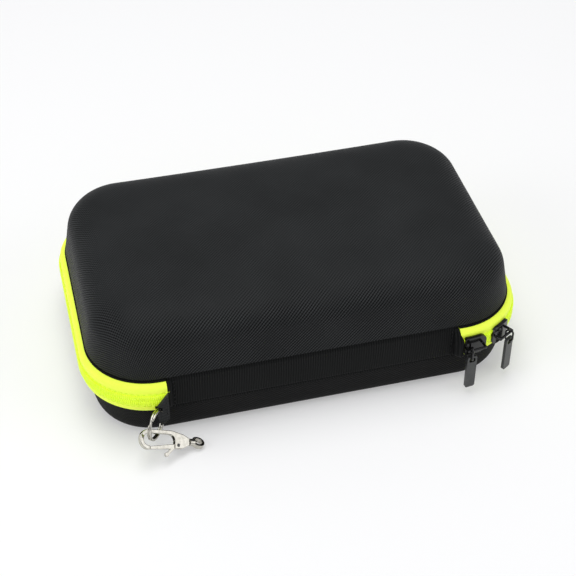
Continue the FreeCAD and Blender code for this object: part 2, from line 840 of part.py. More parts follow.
def make_foam():
    """Cut foam in the base, with a long recess and a row of smaller ones."""
    room = base_volume(shell_thickness + foam_clearance, foam_top_z - base_rim_z)
    reach_x = case_length / 2 - rim_inset - foam_side_gap
    reach_y = rim_y - foam_side_gap
    plan = rounded_prism(Vector(-reach_x, -reach_y, 0), Vector(reach_x, reach_y, foam_top_z),
                         rim_radius - foam_side_gap)
    foam = room.common(plan)
    floor_z = shell_thickness + foam_clearance + foam_floor
    low_x = -reach_x + recess_margin
    high_x = reach_x - recess_margin
    low_y = -reach_y + recess_margin
    split_y = low_y + clipper_recess_width
    high_y = reach_y - recess_margin
    cut_z = foam_top_z + cut_margin
    long_recess = rounded_prism(Vector(low_x, low_y, floor_z), Vector(high_x, split_y, cut_z), recess_corner)
    foam = foam.cut(long_recess)
    pitch = (high_x - low_x + recess_web) / accessory_count
    for index in range(accessory_count):
        start_x = low_x + index * pitch
        low = Vector(start_x, split_y + recess_web, floor_z)
        high = Vector(start_x + pitch - recess_web, high_y, cut_z)
        foam = foam.cut(rounded_prism(low, high, recess_corner))
    save(foam, "foam_insert")


def make_pocket():
    """Net across the lid, open along the hinge side, with an elastic in its edge."""
    room = lid_volume(shell_thickness + net_seat_gap, 0.0)
    mouth_y = -rim_y + shell_thickness + net_mouth
    reach = case_length / 2
    layer = block(Vector(-reach, mouth_y, net_z), Vector(reach, reach, net_z + net_thickness))
    net = room.common(layer)
    lean = lid_wall_lean * (net_z + net_thickness - lid_rim_z) / lid_wall_height
    inner = rim_radius - shell_thickness - net_seat_gap - lean
    down = -corner_y - mouth_y
    side = corner_x + (math.sqrt(inner ** 2 - down ** 2) if down > 0 else inner)
    level = net_z + net_thickness / 2
    hem = rod(Vector(-side, mouth_y, level), Vector(side, mouth_y, level), elastic_radius)
    save(net.cut(hem), "mesh_pocket_net")
    save(hem.common(room), "mesh_pocket_elastic")


make_shells()
make_bindings()
make_spine()
make_upper_band()
make_lower_band()
make_sliders()
make_webbing()
make_split_ring()
make_hook()
make_lever()
make_spring()
make_eye()
make_foam()
make_pocket()
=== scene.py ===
"""Looks of the zipped clipper travel case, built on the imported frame.

X runs left to right along the hinge side, Y to the back and Z up. Sizes are written in
millimetres and turned to metres where a point is placed. A section is a list of
(out, z) pairs: out is the distance outward from the rims' own outline, and the
section is carried along stations round the plan of the case.
"""

import math

import bmesh
import bpy
from mathutils import Matrix, Vector


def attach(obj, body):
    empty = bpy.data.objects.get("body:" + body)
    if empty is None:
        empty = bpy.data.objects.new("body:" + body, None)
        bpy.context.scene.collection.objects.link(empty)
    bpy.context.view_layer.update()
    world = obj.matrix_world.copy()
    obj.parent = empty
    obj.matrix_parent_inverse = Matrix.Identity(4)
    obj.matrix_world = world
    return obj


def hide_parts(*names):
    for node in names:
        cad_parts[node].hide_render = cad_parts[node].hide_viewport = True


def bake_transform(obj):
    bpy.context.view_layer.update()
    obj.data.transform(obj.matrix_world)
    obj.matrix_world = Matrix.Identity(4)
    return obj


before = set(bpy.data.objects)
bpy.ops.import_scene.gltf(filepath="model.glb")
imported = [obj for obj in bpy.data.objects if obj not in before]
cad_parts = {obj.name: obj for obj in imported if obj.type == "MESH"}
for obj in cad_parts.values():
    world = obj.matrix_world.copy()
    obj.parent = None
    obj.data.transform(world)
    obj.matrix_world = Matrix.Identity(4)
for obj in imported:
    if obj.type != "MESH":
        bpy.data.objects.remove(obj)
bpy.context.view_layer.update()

MM = 0.001

# Plan and heights of the case
corner_x = 75.2
corner_y = 34.8
rim_radius = 30.9
base_rim = 19.2
lid_rim = 38.05
chain_z = 28.625
spine_half = 72.0
band_end = 72.3
corner_steps = 22
side_step = 5.0

# Layers of the two shells
skin_depth = 0.8
eva_depth = 4.8
lining_depth = 5.5


# ---------------------------------------------------------------- meshes

def metres(points):
    return [Vector(p) * MM for p in points]


def mesh_piece(name, points, faces, smooth=True, uv=None):
    """Mesh object at the origin from points in millimetres. uv holds one pair for each point."""
    mesh = bpy.data.meshes.new(name)
    mesh.from_pydata(metres(points), [], faces)
    if uv:
        layer = mesh.uv_layers.new(name="cloth")
        for loop in mesh.loops:
            layer.data[loop.index].uv = uv[loop.vertex_index]
    mesh.polygons.foreach_set("use_smooth", [smooth] * len(mesh.polygons))
    mesh.set_sharp_from_angle(angle=math.radians(62.0))
    piece = bpy.data.objects.new(name, mesh)
    bpy.context.scene.collection.objects.link(piece)
    return piece


def dress(piece, material, body=None):
    """Gives a piece its finish, and the CAD body that it rides on."""
    piece.data.materials.clear()
    piece.data.materials.append(material)
    if body:
        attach(piece, body)
    return piece


def soften(piece, width, segments=2, angle=35.0):
    """Rounds the sharp edges, as pressing, casting or tumbling does."""
    bevel = piece.modifiers.new("soft_edges", "BEVEL")
    bevel.width = width * MM
    bevel.segments = segments
    bevel.limit_method = "ANGLE"
    bevel.angle_limit = math.radians(angle)
    bevel.harden_normals = False
    return piece


def from_cad(node, name):
    """Merged copy of a CAD node with its flat faces whole again."""
    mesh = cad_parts[node].data.copy()
    work = bmesh.new()
    work.from_mesh(mesh)
    bmesh.ops.remove_doubles(work, verts=work.verts, dist=0.002 * MM)
    bmesh.ops.dissolve_limit(work, angle_limit=math.radians(1.0), verts=work.verts, edges=work.edges)
    work.to_mesh(mesh)
    work.free()
    mesh.materials.clear()
    mesh.polygons.foreach_set("use_smooth", [True] * len(mesh.polygons))
    mesh.set_sharp_from_angle(angle=math.radians(35.0))
    piece = bpy.data.objects.new(name, mesh)
    bpy.context.scene.collection.objects.link(piece)
    return piece


# ---------------------------------------------------------------- plan of the case

def corner_centre(heading):
    turn = heading % 360.0
    x = corner_x if turn < 90.0 or turn >= 270.0 else -corner_x
    y = corner_y if turn < 180.0 else -corner_y
    return x, y


def stations(start, end, lead_in=None, lead_out=None):
    """Stations (x, y, heading) round the plan between two headings in degrees.

    Sides are walked whole. lead_in and lead_out are X places on the front side where
    a straight stretch starts before the first corner, or stops after the last one.
    """
    found = []
    if lead_in is not None:
        found.append((lead_in, -corner_y, -90.0))
    heading = start
    while heading < end - 0.001:
        stop = min(end, 90.0 * (math.floor(heading / 90.0 + 0.0001) + 1))
        x, y = corner_centre(heading)
        steps = max(2, round(corner_steps * (stop - heading) / 90.0))
        for index in range(steps + 1):
            found.append((x, y, heading + (stop - heading) * index / steps))
        heading = stop
        if heading < end - 0.001:
            next_x, next_y = corner_centre(heading)
            length = abs(next_x - x) + abs(next_y - y)
            count = round(length / side_step)
            for index in range(1, count):
                share = index / count
                found.append((x + (next_x - x) * share, y + (next_y - y) * share, heading))
    if lead_out is not None:
        found.append((lead_out, -corner_y, 270.0))
    return found


def all_round():
    """Stations of the whole closed outline, with none twice."""
    found = stations(0.0, 360.0)
    last_x, last_y = found[-1][:2]
    count = round(2 * corner_y / side_step)
    for index in range(1, count):
        found.append((last_x, last_y + 2 * corner_y * index / count, 360.0))
    return found


def at(station, out, z):
    """Point at a distance outward from the rim outline."""
    x, y, heading = station
    reach = rim_radius + out
    return Vector((x + reach * math.cos(math.radians(heading)),
                   y + reach * math.sin(math.radians(heading)), z))


def run_lengths(path, out=0.0):
    """Distance along the path for each station, at a distance from the rim."""
    total = 0.0
    lengths = [0.0]
    for before, after in zip(path, path[1:]):
        total += (at(after, out, 0.0) - at(before, out, 0.0)).length
        lengths.append(total)
    return lengths


def carried(name, section, path, closed=False):
    """Closed section carried along stations, with capped ends unless it closes on itself.

    Its UV map runs along the path and round the section, in metres.
    """
    points = []
    uv = []
    count = len(section)
    lengths = run_lengths(path)
    rounds = [0.0]
    for before, after in zip(section, section[1:]):
        rounds.append(rounds[-1] + math.dist(before, after))
    for station, length in zip(path, lengths):
        for (out, z), turn in zip(section, rounds):
            points.append(at(station, out, z))
            uv.append((length * MM, turn * MM))
    faces = []
    spans = len(path) if closed else len(path) - 1
    for index in range(spans):
        here = index * count
        there = ((index + 1) % len(path)) * count
        for side in range(count):
            after = (side + 1) % count
            faces.append((here + side, there + side, there + after, here + after))
    if not closed:
        faces.append(tuple(range(count)))
        faces.append(tuple(reversed(range((len(path) - 1) * count, len(path) * count))))
    piece = mesh_piece(name, points, faces, uv=uv)
    facing_out(piece)
    return piece


def facing_out(piece):
    """Turns every face of a closed piece outward."""
    work = bmesh.new()
    work.from_mesh(piece.data)
    bmesh.ops.recalc_face_normals(work, faces=work.faces)
    work.to_mesh(piece.data)
    work.free()


# ---------------------------------------------------------------- finishes

# A wave texture of scale 1 repeats every pi / 10 of its coordinate
WAVE_TURN = math.pi / 10


def wave_of(pitch):
    return WAVE_TURN / (pitch * MM)


def grain_of(size):
    return 1.0 / (size * MM)


def colour(hex_code):
    """Linear colour of an sRGB hex value."""
    parts = [int(hex_code[i:i + 2], 16) / 255 for i in (1, 3, 5)]
    linear = [p / 12.92 if p <= 0.04045 else ((p + 0.055) / 1.055) ** 2.4 for p in parts]
    return (*linear, 1.0)


def add(tree, kind, settings=None, inputs=None):
    """Adds a node with its settings. An input that is a socket is linked, another is set."""
    node = tree.nodes.new(kind)
    for key, value in (settings or {}).items():
        setattr(node, key, value)
    for key, value in (inputs or {}).items():
        if isinstance(value, bpy.types.NodeSocket):
            tree.links.new(value, node.inputs[key])
        else:
            node.inputs[key].default_value = value
    return node


def new_material(name, surface):
    """Material with a Principled shader, whose constant inputs are given in surface."""
    material = bpy.data.materials.new(name)
    material.use_nodes = True
    tree = material.node_tree
    tree.nodes.clear()
    shader = add(tree, "ShaderNodeBsdfPrincipled", None, surface)
    add(tree, "ShaderNodeOutputMaterial", None, {"Surface": shader.outputs[0]})
    return material, tree, shader


def two_tones(tree, share, dark, light, low=0.0, high=1.0):
    """Colour between two tones, from a share between low and high."""
    ranged = add(tree, "ShaderNodeMapRange", None, {"Value": share, "From Min": low, "From Max": high})
    mix = add(tree, "ShaderNodeMix", {"data_type": "RGBA"},
              {"Factor": ranged.outputs[0], "A": colour(dark), "B": colour(light)})
    return mix.outputs["Result"]


# The real ridges are 0.75 mm apart, too fine to show from the camera, so they are drawn wider
grain_pitch = 1.2


def grained_cloth(name, dark, light, slant, roughness):
    """Polyester cloth embossed while hot with fine ridges that slant both ways.

    The ridges are drawn lighter than the ground: painted sheen on top of their real relief.
    Which way of ridges shows is picked by where the side faces, a painted highlight: sides
    facing left show the falling ridges, the others the rising ones. The flat top shows them
    faintly, so the painted sheen is strong on the shoulders and weak on the top. slant is the angle of the
    ridges on the cloth, in degrees.
    """
    material, tree, shader = new_material(name, {"Roughness": roughness, "Sheen Weight": 0.02,
                                                 "Sheen Roughness": 0.4, "Specular IOR Level": 0.10})
    place = add(tree, "ShaderNodeUVMap", {"uv_map": "cloth"})
    facing = add(tree, "ShaderNodeTexCoord")
    axes = add(tree, "ShaderNodeSeparateXYZ", None, {"Vector": facing.outputs["Normal"]})
    wander = add(tree, "ShaderNodeTexNoise", None, {"Vector": place.outputs[0], "Scale": grain_of(14.0),
                                                    "Detail": 2.0})
    centred = add(tree, "ShaderNodeVectorMath", {"operation": "SUBTRACT"},
                  {0: wander.outputs["Color"], 1: (0.5, 0.5, 0.5)})
    drift = add(tree, "ShaderNodeVectorMath", {"operation": "MULTIPLY_ADD"},
                {0: centred.outputs[0], 1: (1.1 * MM, 1.1 * MM, 0.0), 2: place.outputs[0]})
    rising = add(tree, "ShaderNodeMapping", None, {"Vector": drift.outputs[0],
                                                   "Rotation": (0.0, 0.0, math.radians(-slant))})
    falling = add(tree, "ShaderNodeMapping", None, {"Vector": drift.outputs[0],
                                                    "Rotation": (0.0, 0.0, math.radians(slant))})
    rising_ridges = add(tree, "ShaderNodeTexWave", {"bands_direction": "Y"},
                        {"Vector": rising.outputs[0], "Scale": wave_of(grain_pitch)})
    falling_ridges = add(tree, "ShaderNodeTexWave", {"bands_direction": "Y"},
                         {"Vector": falling.outputs[0], "Scale": wave_of(grain_pitch)})
    # Painted highlight: sides that face left show mostly the falling ridges, the others the rising ones
    left_facing_painted_highlight = add(tree, "ShaderNodeMapRange", None, {"Value": axes.outputs["X"], "From Min": -0.25,
                                                      "From Max": -0.75, "To Min": 0.22, "To Max": 0.85})
    ridges = add(tree, "ShaderNodeMix", {"data_type": "FLOAT"},
                 {0: left_facing_painted_highlight.outputs[0], 2: rising_ridges.outputs["Fac"], 3: falling_ridges.outputs["Fac"]})
    patches = add(tree, "ShaderNodeTexNoise", None, {"Vector": place.outputs[0], "Scale": grain_of(9.0),
                                                     "Detail": 3.0})
    kept = add(tree, "ShaderNodeMapRange", None, {"Value": patches.outputs["Fac"], "From Min": 0.34,
                                                  "From Max": 0.60, "To Min": 0.45, "To Max": 1.0})
    # Painted sheen: the ridges show at full strength on the shoulders and faintly on the flat top
    shoulder_painted_sheen = add(tree, "ShaderNodeMapRange", None, {"Value": axes.outputs["Z"], "From Min": 0.80,
                                                         "From Max": 0.985, "To Min": 1.0, "To Max": 0.42})
    painted_sheen_strength = add(tree, "ShaderNodeMath", {"operation": "MULTIPLY"}, {0: kept.outputs[0],
                                                                    1: shoulder_painted_sheen.outputs[0]})
    even = add(tree, "ShaderNodeMath", {"operation": "SUBTRACT"}, {0: ridges.outputs[0], 1: 0.5})
    grain = add(tree, "ShaderNodeMath", {"operation": "MULTIPLY_ADD"},
                {0: even.outputs[0], 1: painted_sheen_strength.outputs[0], 2: 0.25})
    worn = add(tree, "ShaderNodeTexNoise", None, {"Vector": place.outputs[0], "Scale": grain_of(38.0),
                                                  "Detail": 3.0})
    tone = add(tree, "ShaderNodeMath", {"operation": "MULTIPLY_ADD"},
               {0: worn.outputs["Fac"], 1: 0.3, 2: grain.outputs[0]})
    bump = add(tree, "ShaderNodeBump", None, {"Height": grain.outputs[0], "Distance": 0.2 * MM})
    # The base colour carries the ridges' painted sheen and a broad random tone
    tree.links.new(two_tones(tree, tone.outputs[0], dark, light, 0.08, 1.15), shader.inputs["Base Color"])
    tree.links.new(bump.outputs[0], shader.inputs["Normal"])
    return material


def ribbed_cloth(name, dark, light, pitch, direction, depth, surface):
    """Woven tape or webbing: straight ribs one way, crossed by finer picks, with a little fluff."""
    material, tree, shader = new_material(name, surface)
    place = add(tree, "ShaderNodeUVMap", {"uv_map": "cloth"})
    across = "X" if direction == "Y" else "Y"
    ribs = add(tree, "ShaderNodeTexWave", {"bands_direction": direction},
               {"Vector": place.outputs[0], "Scale": wave_of(pitch), "Distortion": 0.6,
                "Detail Scale": 2.0})
    picks = add(tree, "ShaderNodeTexWave", {"bands_direction": across},
                {"Vector": place.outputs[0], "Scale": wave_of(pitch * 0.7)})
    fluff = add(tree, "ShaderNodeTexNoise", None, {"Vector": place.outputs[0], "Scale": grain_of(2.5),
                                                   "Detail": 4.0})
    woven = add(tree, "ShaderNodeMath", {"operation": "MULTIPLY_ADD"},
                {0: picks.outputs["Fac"], 1: 0.45, 2: ribs.outputs["Fac"]})
    tone = add(tree, "ShaderNodeMath", {"operation": "MULTIPLY_ADD"},
               {0: fluff.outputs["Fac"], 1: 0.5, 2: woven.outputs[0]})
    bump = add(tree, "ShaderNodeBump", None, {"Height": woven.outputs[0], "Distance": depth * MM})
    tree.links.new(two_tones(tree, tone.outputs[0], dark, light, 0.1, 1.7), shader.inputs["Base Color"])
    tree.links.new(bump.outputs[0], shader.inputs["Normal"])
    return material


def speckled(name, dark, light, grain, depth, surface):
    """Cast, moulded or drawn surface: a fine grain, with broader changes of tone and gloss."""
    material, tree, shader = new_material(name, surface)
    place = add(tree, "ShaderNodeTexCoord")
    fine = add(tree, "ShaderNodeTexNoise", None, {"Vector": place.outputs["Object"],
                                                  "Scale": grain_of(grain), "Detail": 3.0})
    broad = add(tree, "ShaderNodeTexNoise", None, {"Vector": place.outputs["Object"],
                                                   "Scale": grain_of(grain * 14), "Detail": 2.0})
    tone = add(tree, "ShaderNodeMath", {"operation": "MULTIPLY_ADD"},
               {0: broad.outputs["Fac"], 1: 0.6, 2: fine.outputs["Fac"]})
    gloss = add(tree, "ShaderNodeMapRange", None,
                {"Value": broad.outputs["Fac"], "From Min": 0.3, "From Max": 0.7,
                 "To Min": surface["Roughness"] * 0.8, "To Max": surface["Roughness"] * 1.25})
    bump = add(tree, "ShaderNodeBump", None, {"Height": fine.outputs["Fac"], "Distance": depth * MM})
    tree.links.new(two_tones(tree, tone.outputs[0], dark, light, 0.45, 1.15), shader.inputs["Base Color"])
    tree.links.new(gloss.outputs[0], shader.inputs["Roughness"])
    tree.links.new(bump.outputs[0], shader.inputs["Normal"])
    return material


def porous(name, dark, light, cell, depth, surface):
    """Cut or moulded foam: small open cells that read as pinpricks, on a softly mottled ground."""
    material, tree, shader = new_material(name, surface)
    place = add(tree, "ShaderNodeTexCoord")
    cells = add(tree, "ShaderNodeTexVoronoi", None, {"Vector": place.outputs["Object"],
                                                     "Scale": grain_of(cell)})
    mottle = add(tree, "ShaderNodeTexNoise", None, {"Vector": place.outputs["Object"],
                                                    "Scale": grain_of(cell * 16), "Detail": 3.0})
    tone = add(tree, "ShaderNodeMath", {"operation": "MULTIPLY_ADD"},
               {0: mottle.outputs["Fac"], 1: 0.5, 2: cells.outputs["Distance"]})
    bump = add(tree, "ShaderNodeBump", None, {"Height": cells.outputs["Distance"], "Distance": depth * MM})
    tree.links.new(two_tones(tree, tone.outputs[0], dark, light, 0.2, 1.0), shader.inputs["Base Color"])
    tree.links.new(bump.outputs[0], shader.inputs["Normal"])
    return material


# Polyester cloth with an embossed slanting grain, pressed over the lid while hot
lid_cloth = grained_cloth("embossed_polyester_lid", "#020303", "#404243", 43.0, 0.56)
# The same cloth on the base, with painted shade: its colours are darker than the lid's, for a half turned from
# the light
base_cloth_painted_shade = grained_cloth("embossed_polyester_base_painted_shade", "#040404", "#1E1F1F", 43.0, 0.66)
# The strip on the spine is cut across the roll, so its grain stands upright; its colours are darker than the
# lid's, as painted shade
spine_cloth = grained_cloth("embossed_polyester_spine_painted_shade", "#030404", "#202121", 88.0, 0.64)

# Moulded EVA: closed fine cells, dull charcoal, seen only at a cut edge
eva = porous("moulded_eva", "#1E1F20", "#2D2E30", 0.35, 0.03, {"Roughness": 0.82})
# Open-celled polyurethane foam, cut with a knife: dull, full of tiny dark pores
cut_foam = porous("cut_polyurethane_foam", "#17181A", "#33353A", 0.7, 0.14,
                  {"Roughness": 0.95, "Sheen Weight": 0.15, "Sheen Roughness": 0.6})

# Brushed tricot lining: a fine soft knit with a low silky sheen
lining_cloth = ribbed_cloth("brushed_tricot_lining", "#1C1D20", "#34363B", 0.55, "X", 0.03,
                            {"Roughness": 0.8, "Sheen Weight": 0.35, "Sheen Roughness": 0.5})
# Grosgrain binding: close cross ribs that give a matt, ridged edge
grosgrain = ribbed_cloth("grosgrain_binding", "#161718", "#2E3033", 0.8, "X", 0.06,
                         {"Roughness": 0.75, "Sheen Weight": 0.2, "Sheen Roughness": 0.5})
# Fluorescent woven polyester zip tape: fine lengthways ribs. Its emission is a painted glow, light of its own
# that stands for the fluorescent dye's brightness beside the black cloth
lime_tape = ribbed_cloth("fluorescent_zip_tape_painted_glow", "#DCF626", "#F4FF6C", 0.5, "Y", 0.04,
                         {"Roughness": 0.6, "Sheen Weight": 0.1, "Sheen Roughness": 0.4,
                          "Specular IOR Level": 0.3, "Emission Color": colour("#E2FF1C"),
                          "Emission Strength": 0.2})
# Fluorescent polyester monofilament: smooth plastic wire with small highlights on every turn; its emission is a
# painted glow for the fluorescent dye
lime_wire = speckled("fluorescent_polyester_coil_painted_glow", "#D8F41C", "#EEFF50", 0.25, 0.004,
                     {"Roughness": 0.34, "Specular IOR Level": 0.4,
                      "Emission Color": colour("#DEFC18"), "Emission Strength": 0.18})
# Black polyester webbing, folded and sewn: bold cross ribs
webbing_cloth = ribbed_cloth("black_polyester_webbing", "#060707", "#323435", 1.1, "X", 0.12,
                             {"Roughness": 0.7, "Sheen Weight": 0.05, "Sheen Roughness": 0.5,
                              "Specular IOR Level": 0.2})
# Covered elastic: soft knitted sleeve with small slanting ribs
elastic_cover = ribbed_cloth("covered_elastic", "#101112", "#2B2D30", 0.9, "X", 0.08,
                             {"Roughness": 0.7, "Sheen Weight": 0.2, "Sheen Roughness": 0.5})
# Polyester net yarn: thin, slightly shiny black threads
net_yarn = speckled("polyester_net_yarn", "#141517", "#2E3034", 0.3, 0.01, {"Roughness": 0.5})
# Sewing thread, spun polyester in the colour of the cloth it holds
black_thread = speckled("black_sewing_thread", "#121313", "#2C2E2D", 0.12, 0.02,
                        {"Roughness": 0.6, "Specular IOR Level": 0.25})
# The lime thread's emission is a painted glow for its fluorescent dye
lime_thread = speckled("lime_sewing_thread_painted_glow", "#CDE81A", "#E8FC48", 0.12, 0.02,
                       {"Roughness": 0.6, "Emission Color": colour("#DEFC18"),
                        "Emission Strength": 0.2})

# Zinc alloy sliders under gloss black enamel: deep black with crisp bright edges
black_enamel = speckled("gloss_black_enamel_on_zinc", "#040404", "#0B0B0C", 0.5, 0.002,
                        {"Roughness": 0.2, "Specular IOR Level": 0.28, "Coat Weight": 0.25,
                         "Coat Roughness": 0.06})
# Electroplated gunmetal tabs: dark grey metal, tumbled smooth so that only the bevels shine
gunmetal = speckled("gunmetal_plating_on_zinc", "#3D3E3E", "#595A5A", 0.4, 0.003,
                    {"Metallic": 0.8, "Roughness": 0.34})
# Bright nickel plating on cast zinc: a warm mirror with faint casting waves
nickel = speckled("bright_nickel_on_cast_zinc", "#A8A59C", "#D2CFC6", 1.4, 0.006,
                  {"Metallic": 1.0, "Roughness": 0.13})
# Hardened spring wire and leaf, ground and nickel washed
spring_steel = speckled("nickel_washed_spring_steel", "#969592", "#BFBEBB", 0.5, 0.003,
                        {"Metallic": 1.0, "Roughness": 0.2})


# ---------------------------------------------------------------- moulded halves

def curve_between(start, start_way, end, end_way, reach, steps):
    """Points of a smooth curve that leaves and arrives along two directions."""
    points = []
    first = start + start_way * reach[0]
    last = end - end_way * reach[1]
    for index in range(1, steps + 1):
        t = index / steps
        u = 1.0 - t
        points.append(start * u ** 3 + first * (3 * u * u * t) + last * (3 * u * t * t) + end * t ** 3)
    return points


def half_shell(path, rim_z, wall, edge, crown_rise, fullness, sign):
    """Outer surface of one half, as rings of points from the rim to the middle.

    wall and edge are (out, z) where the leaning wall ends and where the flat or gently
    domed middle starts, and each station meets the dome at its own slope. fullness is how far the shoulder keeps to the wall's line and to
    the middle's, as shares of its size. sign is 1 for the lid and -1 for the base.
    """
    rings = []
    cloth = []
    half_x = corner_x + rim_radius + edge[0]
    half_y = corner_y + rim_radius + edge[0]
    wall_way = Vector((wall[0], wall[1] - rim_z)).normalized()
    for share in (0.0, 0.02, 0.05, 0.12, 0.5, 1.0):
        out = wall[0] * share
        z = rim_z + (wall[1] - rim_z) * share
        rings.append([at(station, out, z) for station in path])
    profiles = []
    for station in path:
        edge_point = at(station, edge[0], 0.0)
        heading = math.radians(station[2])
        share_x = edge_point.x / half_x
        share_y = edge_point.y / half_y
        slope = 2.0 * crown_rise * (share_x * math.cos(heading) * (1.0 - share_y ** 2) / half_x
                                    + share_y * math.sin(heading) * (1.0 - share_x ** 2) / half_y)
        way = Vector((-1.0, sign * slope)).normalized()
        start = Vector(wall)
        end = Vector(edge)
        width = abs(edge[0] - wall[0])
        height = abs(edge[1] - wall[1])
        profiles.append(curve_between(start, wall_way, end, way, (height * fullness[0], width * fullness[1]), 16))
    for index in range(16):
        rings.append([at(station, profile[index].x, profile[index].y)
                      for station, profile in zip(path, profiles)])
    flat_start = len(rings) - 1
    for step in range(1, 12):
        gauge = 1.0 - step / 12.0
        ring = []
        for station in path:
            point = at(station, edge[0], 0.0) * gauge
            rise = (1.0 - (point.x / half_x) ** 2) * (1.0 - (point.y / half_y) ** 2)
            ring.append(Vector((point.x, point.y, edge[1] + sign * crown_rise * rise)))
        rings.append(ring)
    centre = Vector((0.0, 0.0, edge[1] + sign * crown_rise))
    # The cloth is laid out flat from the middle, so its grain runs on over the edge
    for ring_index, ring in enumerate(rings):
        row = []
        for index, point in enumerate(ring):
            if ring_index >= flat_start:
                row.append(Vector((point.x, point.y)) * MM)
                continue
            length = sum((rings[k][index] - rings[k + 1][index]).length
                         for k in range(ring_index, flat_start))
            heading = math.radians(path[index][2])
            edge_point = rings[flat_start][index]
            row.append(Vector((edge_point.x + length * math.cos(heading),
                               edge_point.y + length * math.sin(heading))) * MM)
        cloth.append(row)
    return rings, centre, cloth


def surface_normals(rings, centre, sign):
    """Outward direction at each point of the rings."""
    count = len(rings[0])
    normals = []
    for ring_index, ring in enumerate(rings):
        row = []
        for index in range(count):
            along = ring[(index + 1) % count] - ring[index - 1]
            below = rings[max(ring_index - 1, 0)][index]
            above = rings[ring_index + 1][index] if ring_index + 1 < len(rings) else centre
            row.append(along.cross(above - below).normalized() * sign)
        normals.append(row)
    return normals


# How far the outer cloth rolls in at its rim, at the first rings up the wall
rolled_in = (0.72, 0.3, 0.08)


def layer(name, shell, outside, inside, rim_z, sign):
    """Closed layer of a half between two depths under its outer surface."""
    rings, centre, cloth = shell
    normals = surface_normals(rings, centre, sign)
    count = len(rings[0])
    points = []
    uv = []
    for depth in (outside, inside):
        for ring_index, ring in enumerate(rings):
            for index, point in enumerate(ring):
                placed = point - normals[ring_index][index] * depth
                if depth == 0.0 and ring_index < len(rolled_in):
                    heading = math.radians(outline[index][2])
                    placed -= Vector((math.cos(heading), math.sin(heading), 0.0)) * rolled_in[ring_index]
                if ring_index == 0:
                    placed.z = rim_z
                points.append(placed)
                uv.append(tuple(cloth[ring_index][index]))
        points.append(centre - Vector((0.0, 0.0, sign * depth)))
        uv.append((0.0, 0.0))
    size = len(rings) * count + 1
    faces = []
    for side, start in enumerate((0, size)):
        for ring_index in range(len(rings) - 1):
            for index in range(count):
                after = (index + 1) % count
                low = start + ring_index * count
                high = low + count
                faces.append((low + index, low + after, high + after, high + index))
        last = start + (len(rings) - 1) * count
        for index in range(count):
            faces.append((last + index, last + (index + 1) % count, start + size - 1))
    for index in range(count):
        after = (index + 1) % count
        faces.append((index, after, size + after, size + index))
    piece = mesh_piece(name, points, faces, uv=uv)
    facing_out(piece)
    return piece


outline = all_round()
lid_shell = half_shell(outline, lid_rim, (-2.8, 53.6), (-27.9, 67.7), 2.15, (0.62, 0.58), 1)
base_shell = half_shell(outline, base_rim, (-1.3, 10.3), (-14.2, 0.0), 0.0, (0.82, 0.78), -1)

lid_skin = layer("lid_fabric_skin", lid_shell, 0.0, skin_depth, lid_rim, 1)
dress(lid_skin, lid_cloth, "lid")
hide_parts("lid_outer_skin")
lid_foam = layer("lid_moulded_foam", lid_shell, skin_depth, eva_depth, lid_rim, 1)
dress(lid_foam, eva, "lid")
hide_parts("lid_eva_shell")
lid_inside = layer("lid_tricot_lining", lid_shell, eva_depth, lining_depth, lid_rim, 1)
dress(lid_inside, lining_cloth, "lid")
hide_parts("lid_lining")

base_skin = layer("base_fabric_skin", base_shell, 0.0, skin_depth, base_rim, -1)
dress(base_skin, base_cloth_painted_shade, "base")
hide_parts("base_outer_skin")
base_foam = layer("base_moulded_foam", base_shell, skin_depth, eva_depth, base_rim, -1)
dress(base_foam, eva, "base")
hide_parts("base_eva_shell")
base_inside = layer("base_tricot_lining", base_shell, eva_depth, lining_depth, base_rim, -1)
dress(base_inside, lining_cloth, "base")
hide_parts("base_lining")


# ---------------------------------------------------------------- zip band

# Distances outward from the rim outline
tape_inner = 2.3
tape_outer = 3.1
coil_outer = 3.9
tape_roof = 37.95
# In the open the tape lies lower, so that a dark groove shows along the lid's edge
groove_roof = 37.0
groove_end = -1.6
flange_end = -5.0
bend_radius = 2.9
right_break = -38.0
left_break = 218.0
left_stop = 264.2
bend_steps = 6


def flipped(section):
    """The same section on the other side of the chain's middle height."""
    return [(out, 2 * chain_z - z) for out, z in reversed(section)]


def bend(centre_out, centre_z, radius, start, stop):
    """Points of a quarter bend, in degrees from outward towards up."""
    points = []
    for index in range(bend_steps + 1):
        angle = math.radians(start + (stop - start) * index / bend_steps)
        points.append((centre_out + radius * math.cos(angle), centre_z + radius * math.sin(angle)))
    return points


def tape_section(edge):
    """Tape: upright beside the coil, with a soft swell, then bent in under the rim."""
    centre_out = tape_outer - bend_radius
    centre_z = groove_roof - bend_radius
    small = bend_radius - 0.8
    outside = [(tape_outer - 0.12, edge), (tape_outer, edge + 0.2), (tape_outer, edge + 1.4)]
    inside = [(tape_inner, edge + 1.4), (tape_inner, edge + 0.1), (tape_inner + 0.2, edge)]
    return (outside + bend(centre_out, centre_z, bend_radius, 0.0, 90.0)
            + [(groove_end + 0.8, groove_roof), (groove_end, tape_roof), (flange_end, tape_roof),
               (flange_end, tape_roof - 0.8), (groove_end - 0.2, tape_roof - 0.8),
               (groove_end + 0.6, groove_roof - 0.8)]
            + bend(centre_out, centre_z, small, 90.0, 0.0) + inside)


run_tape = tape_section(chain_z + 1.6)
end_tape = tape_section(chain_z + 1.95)
upper_path = stations(right_break, left_break)
lower_path = stations(-90.0, left_stop, lead_in=band_end)
chain_end = band_end + 0.7
lower_chain_path = stations(-90.0, 270.0, lead_in=chain_end, lead_out=-chain_end)
right_end_path = stations(-90.0, right_break, lead_in=band_end)
left_end_path = stations(left_break, 270.0, lead_out=-band_end)

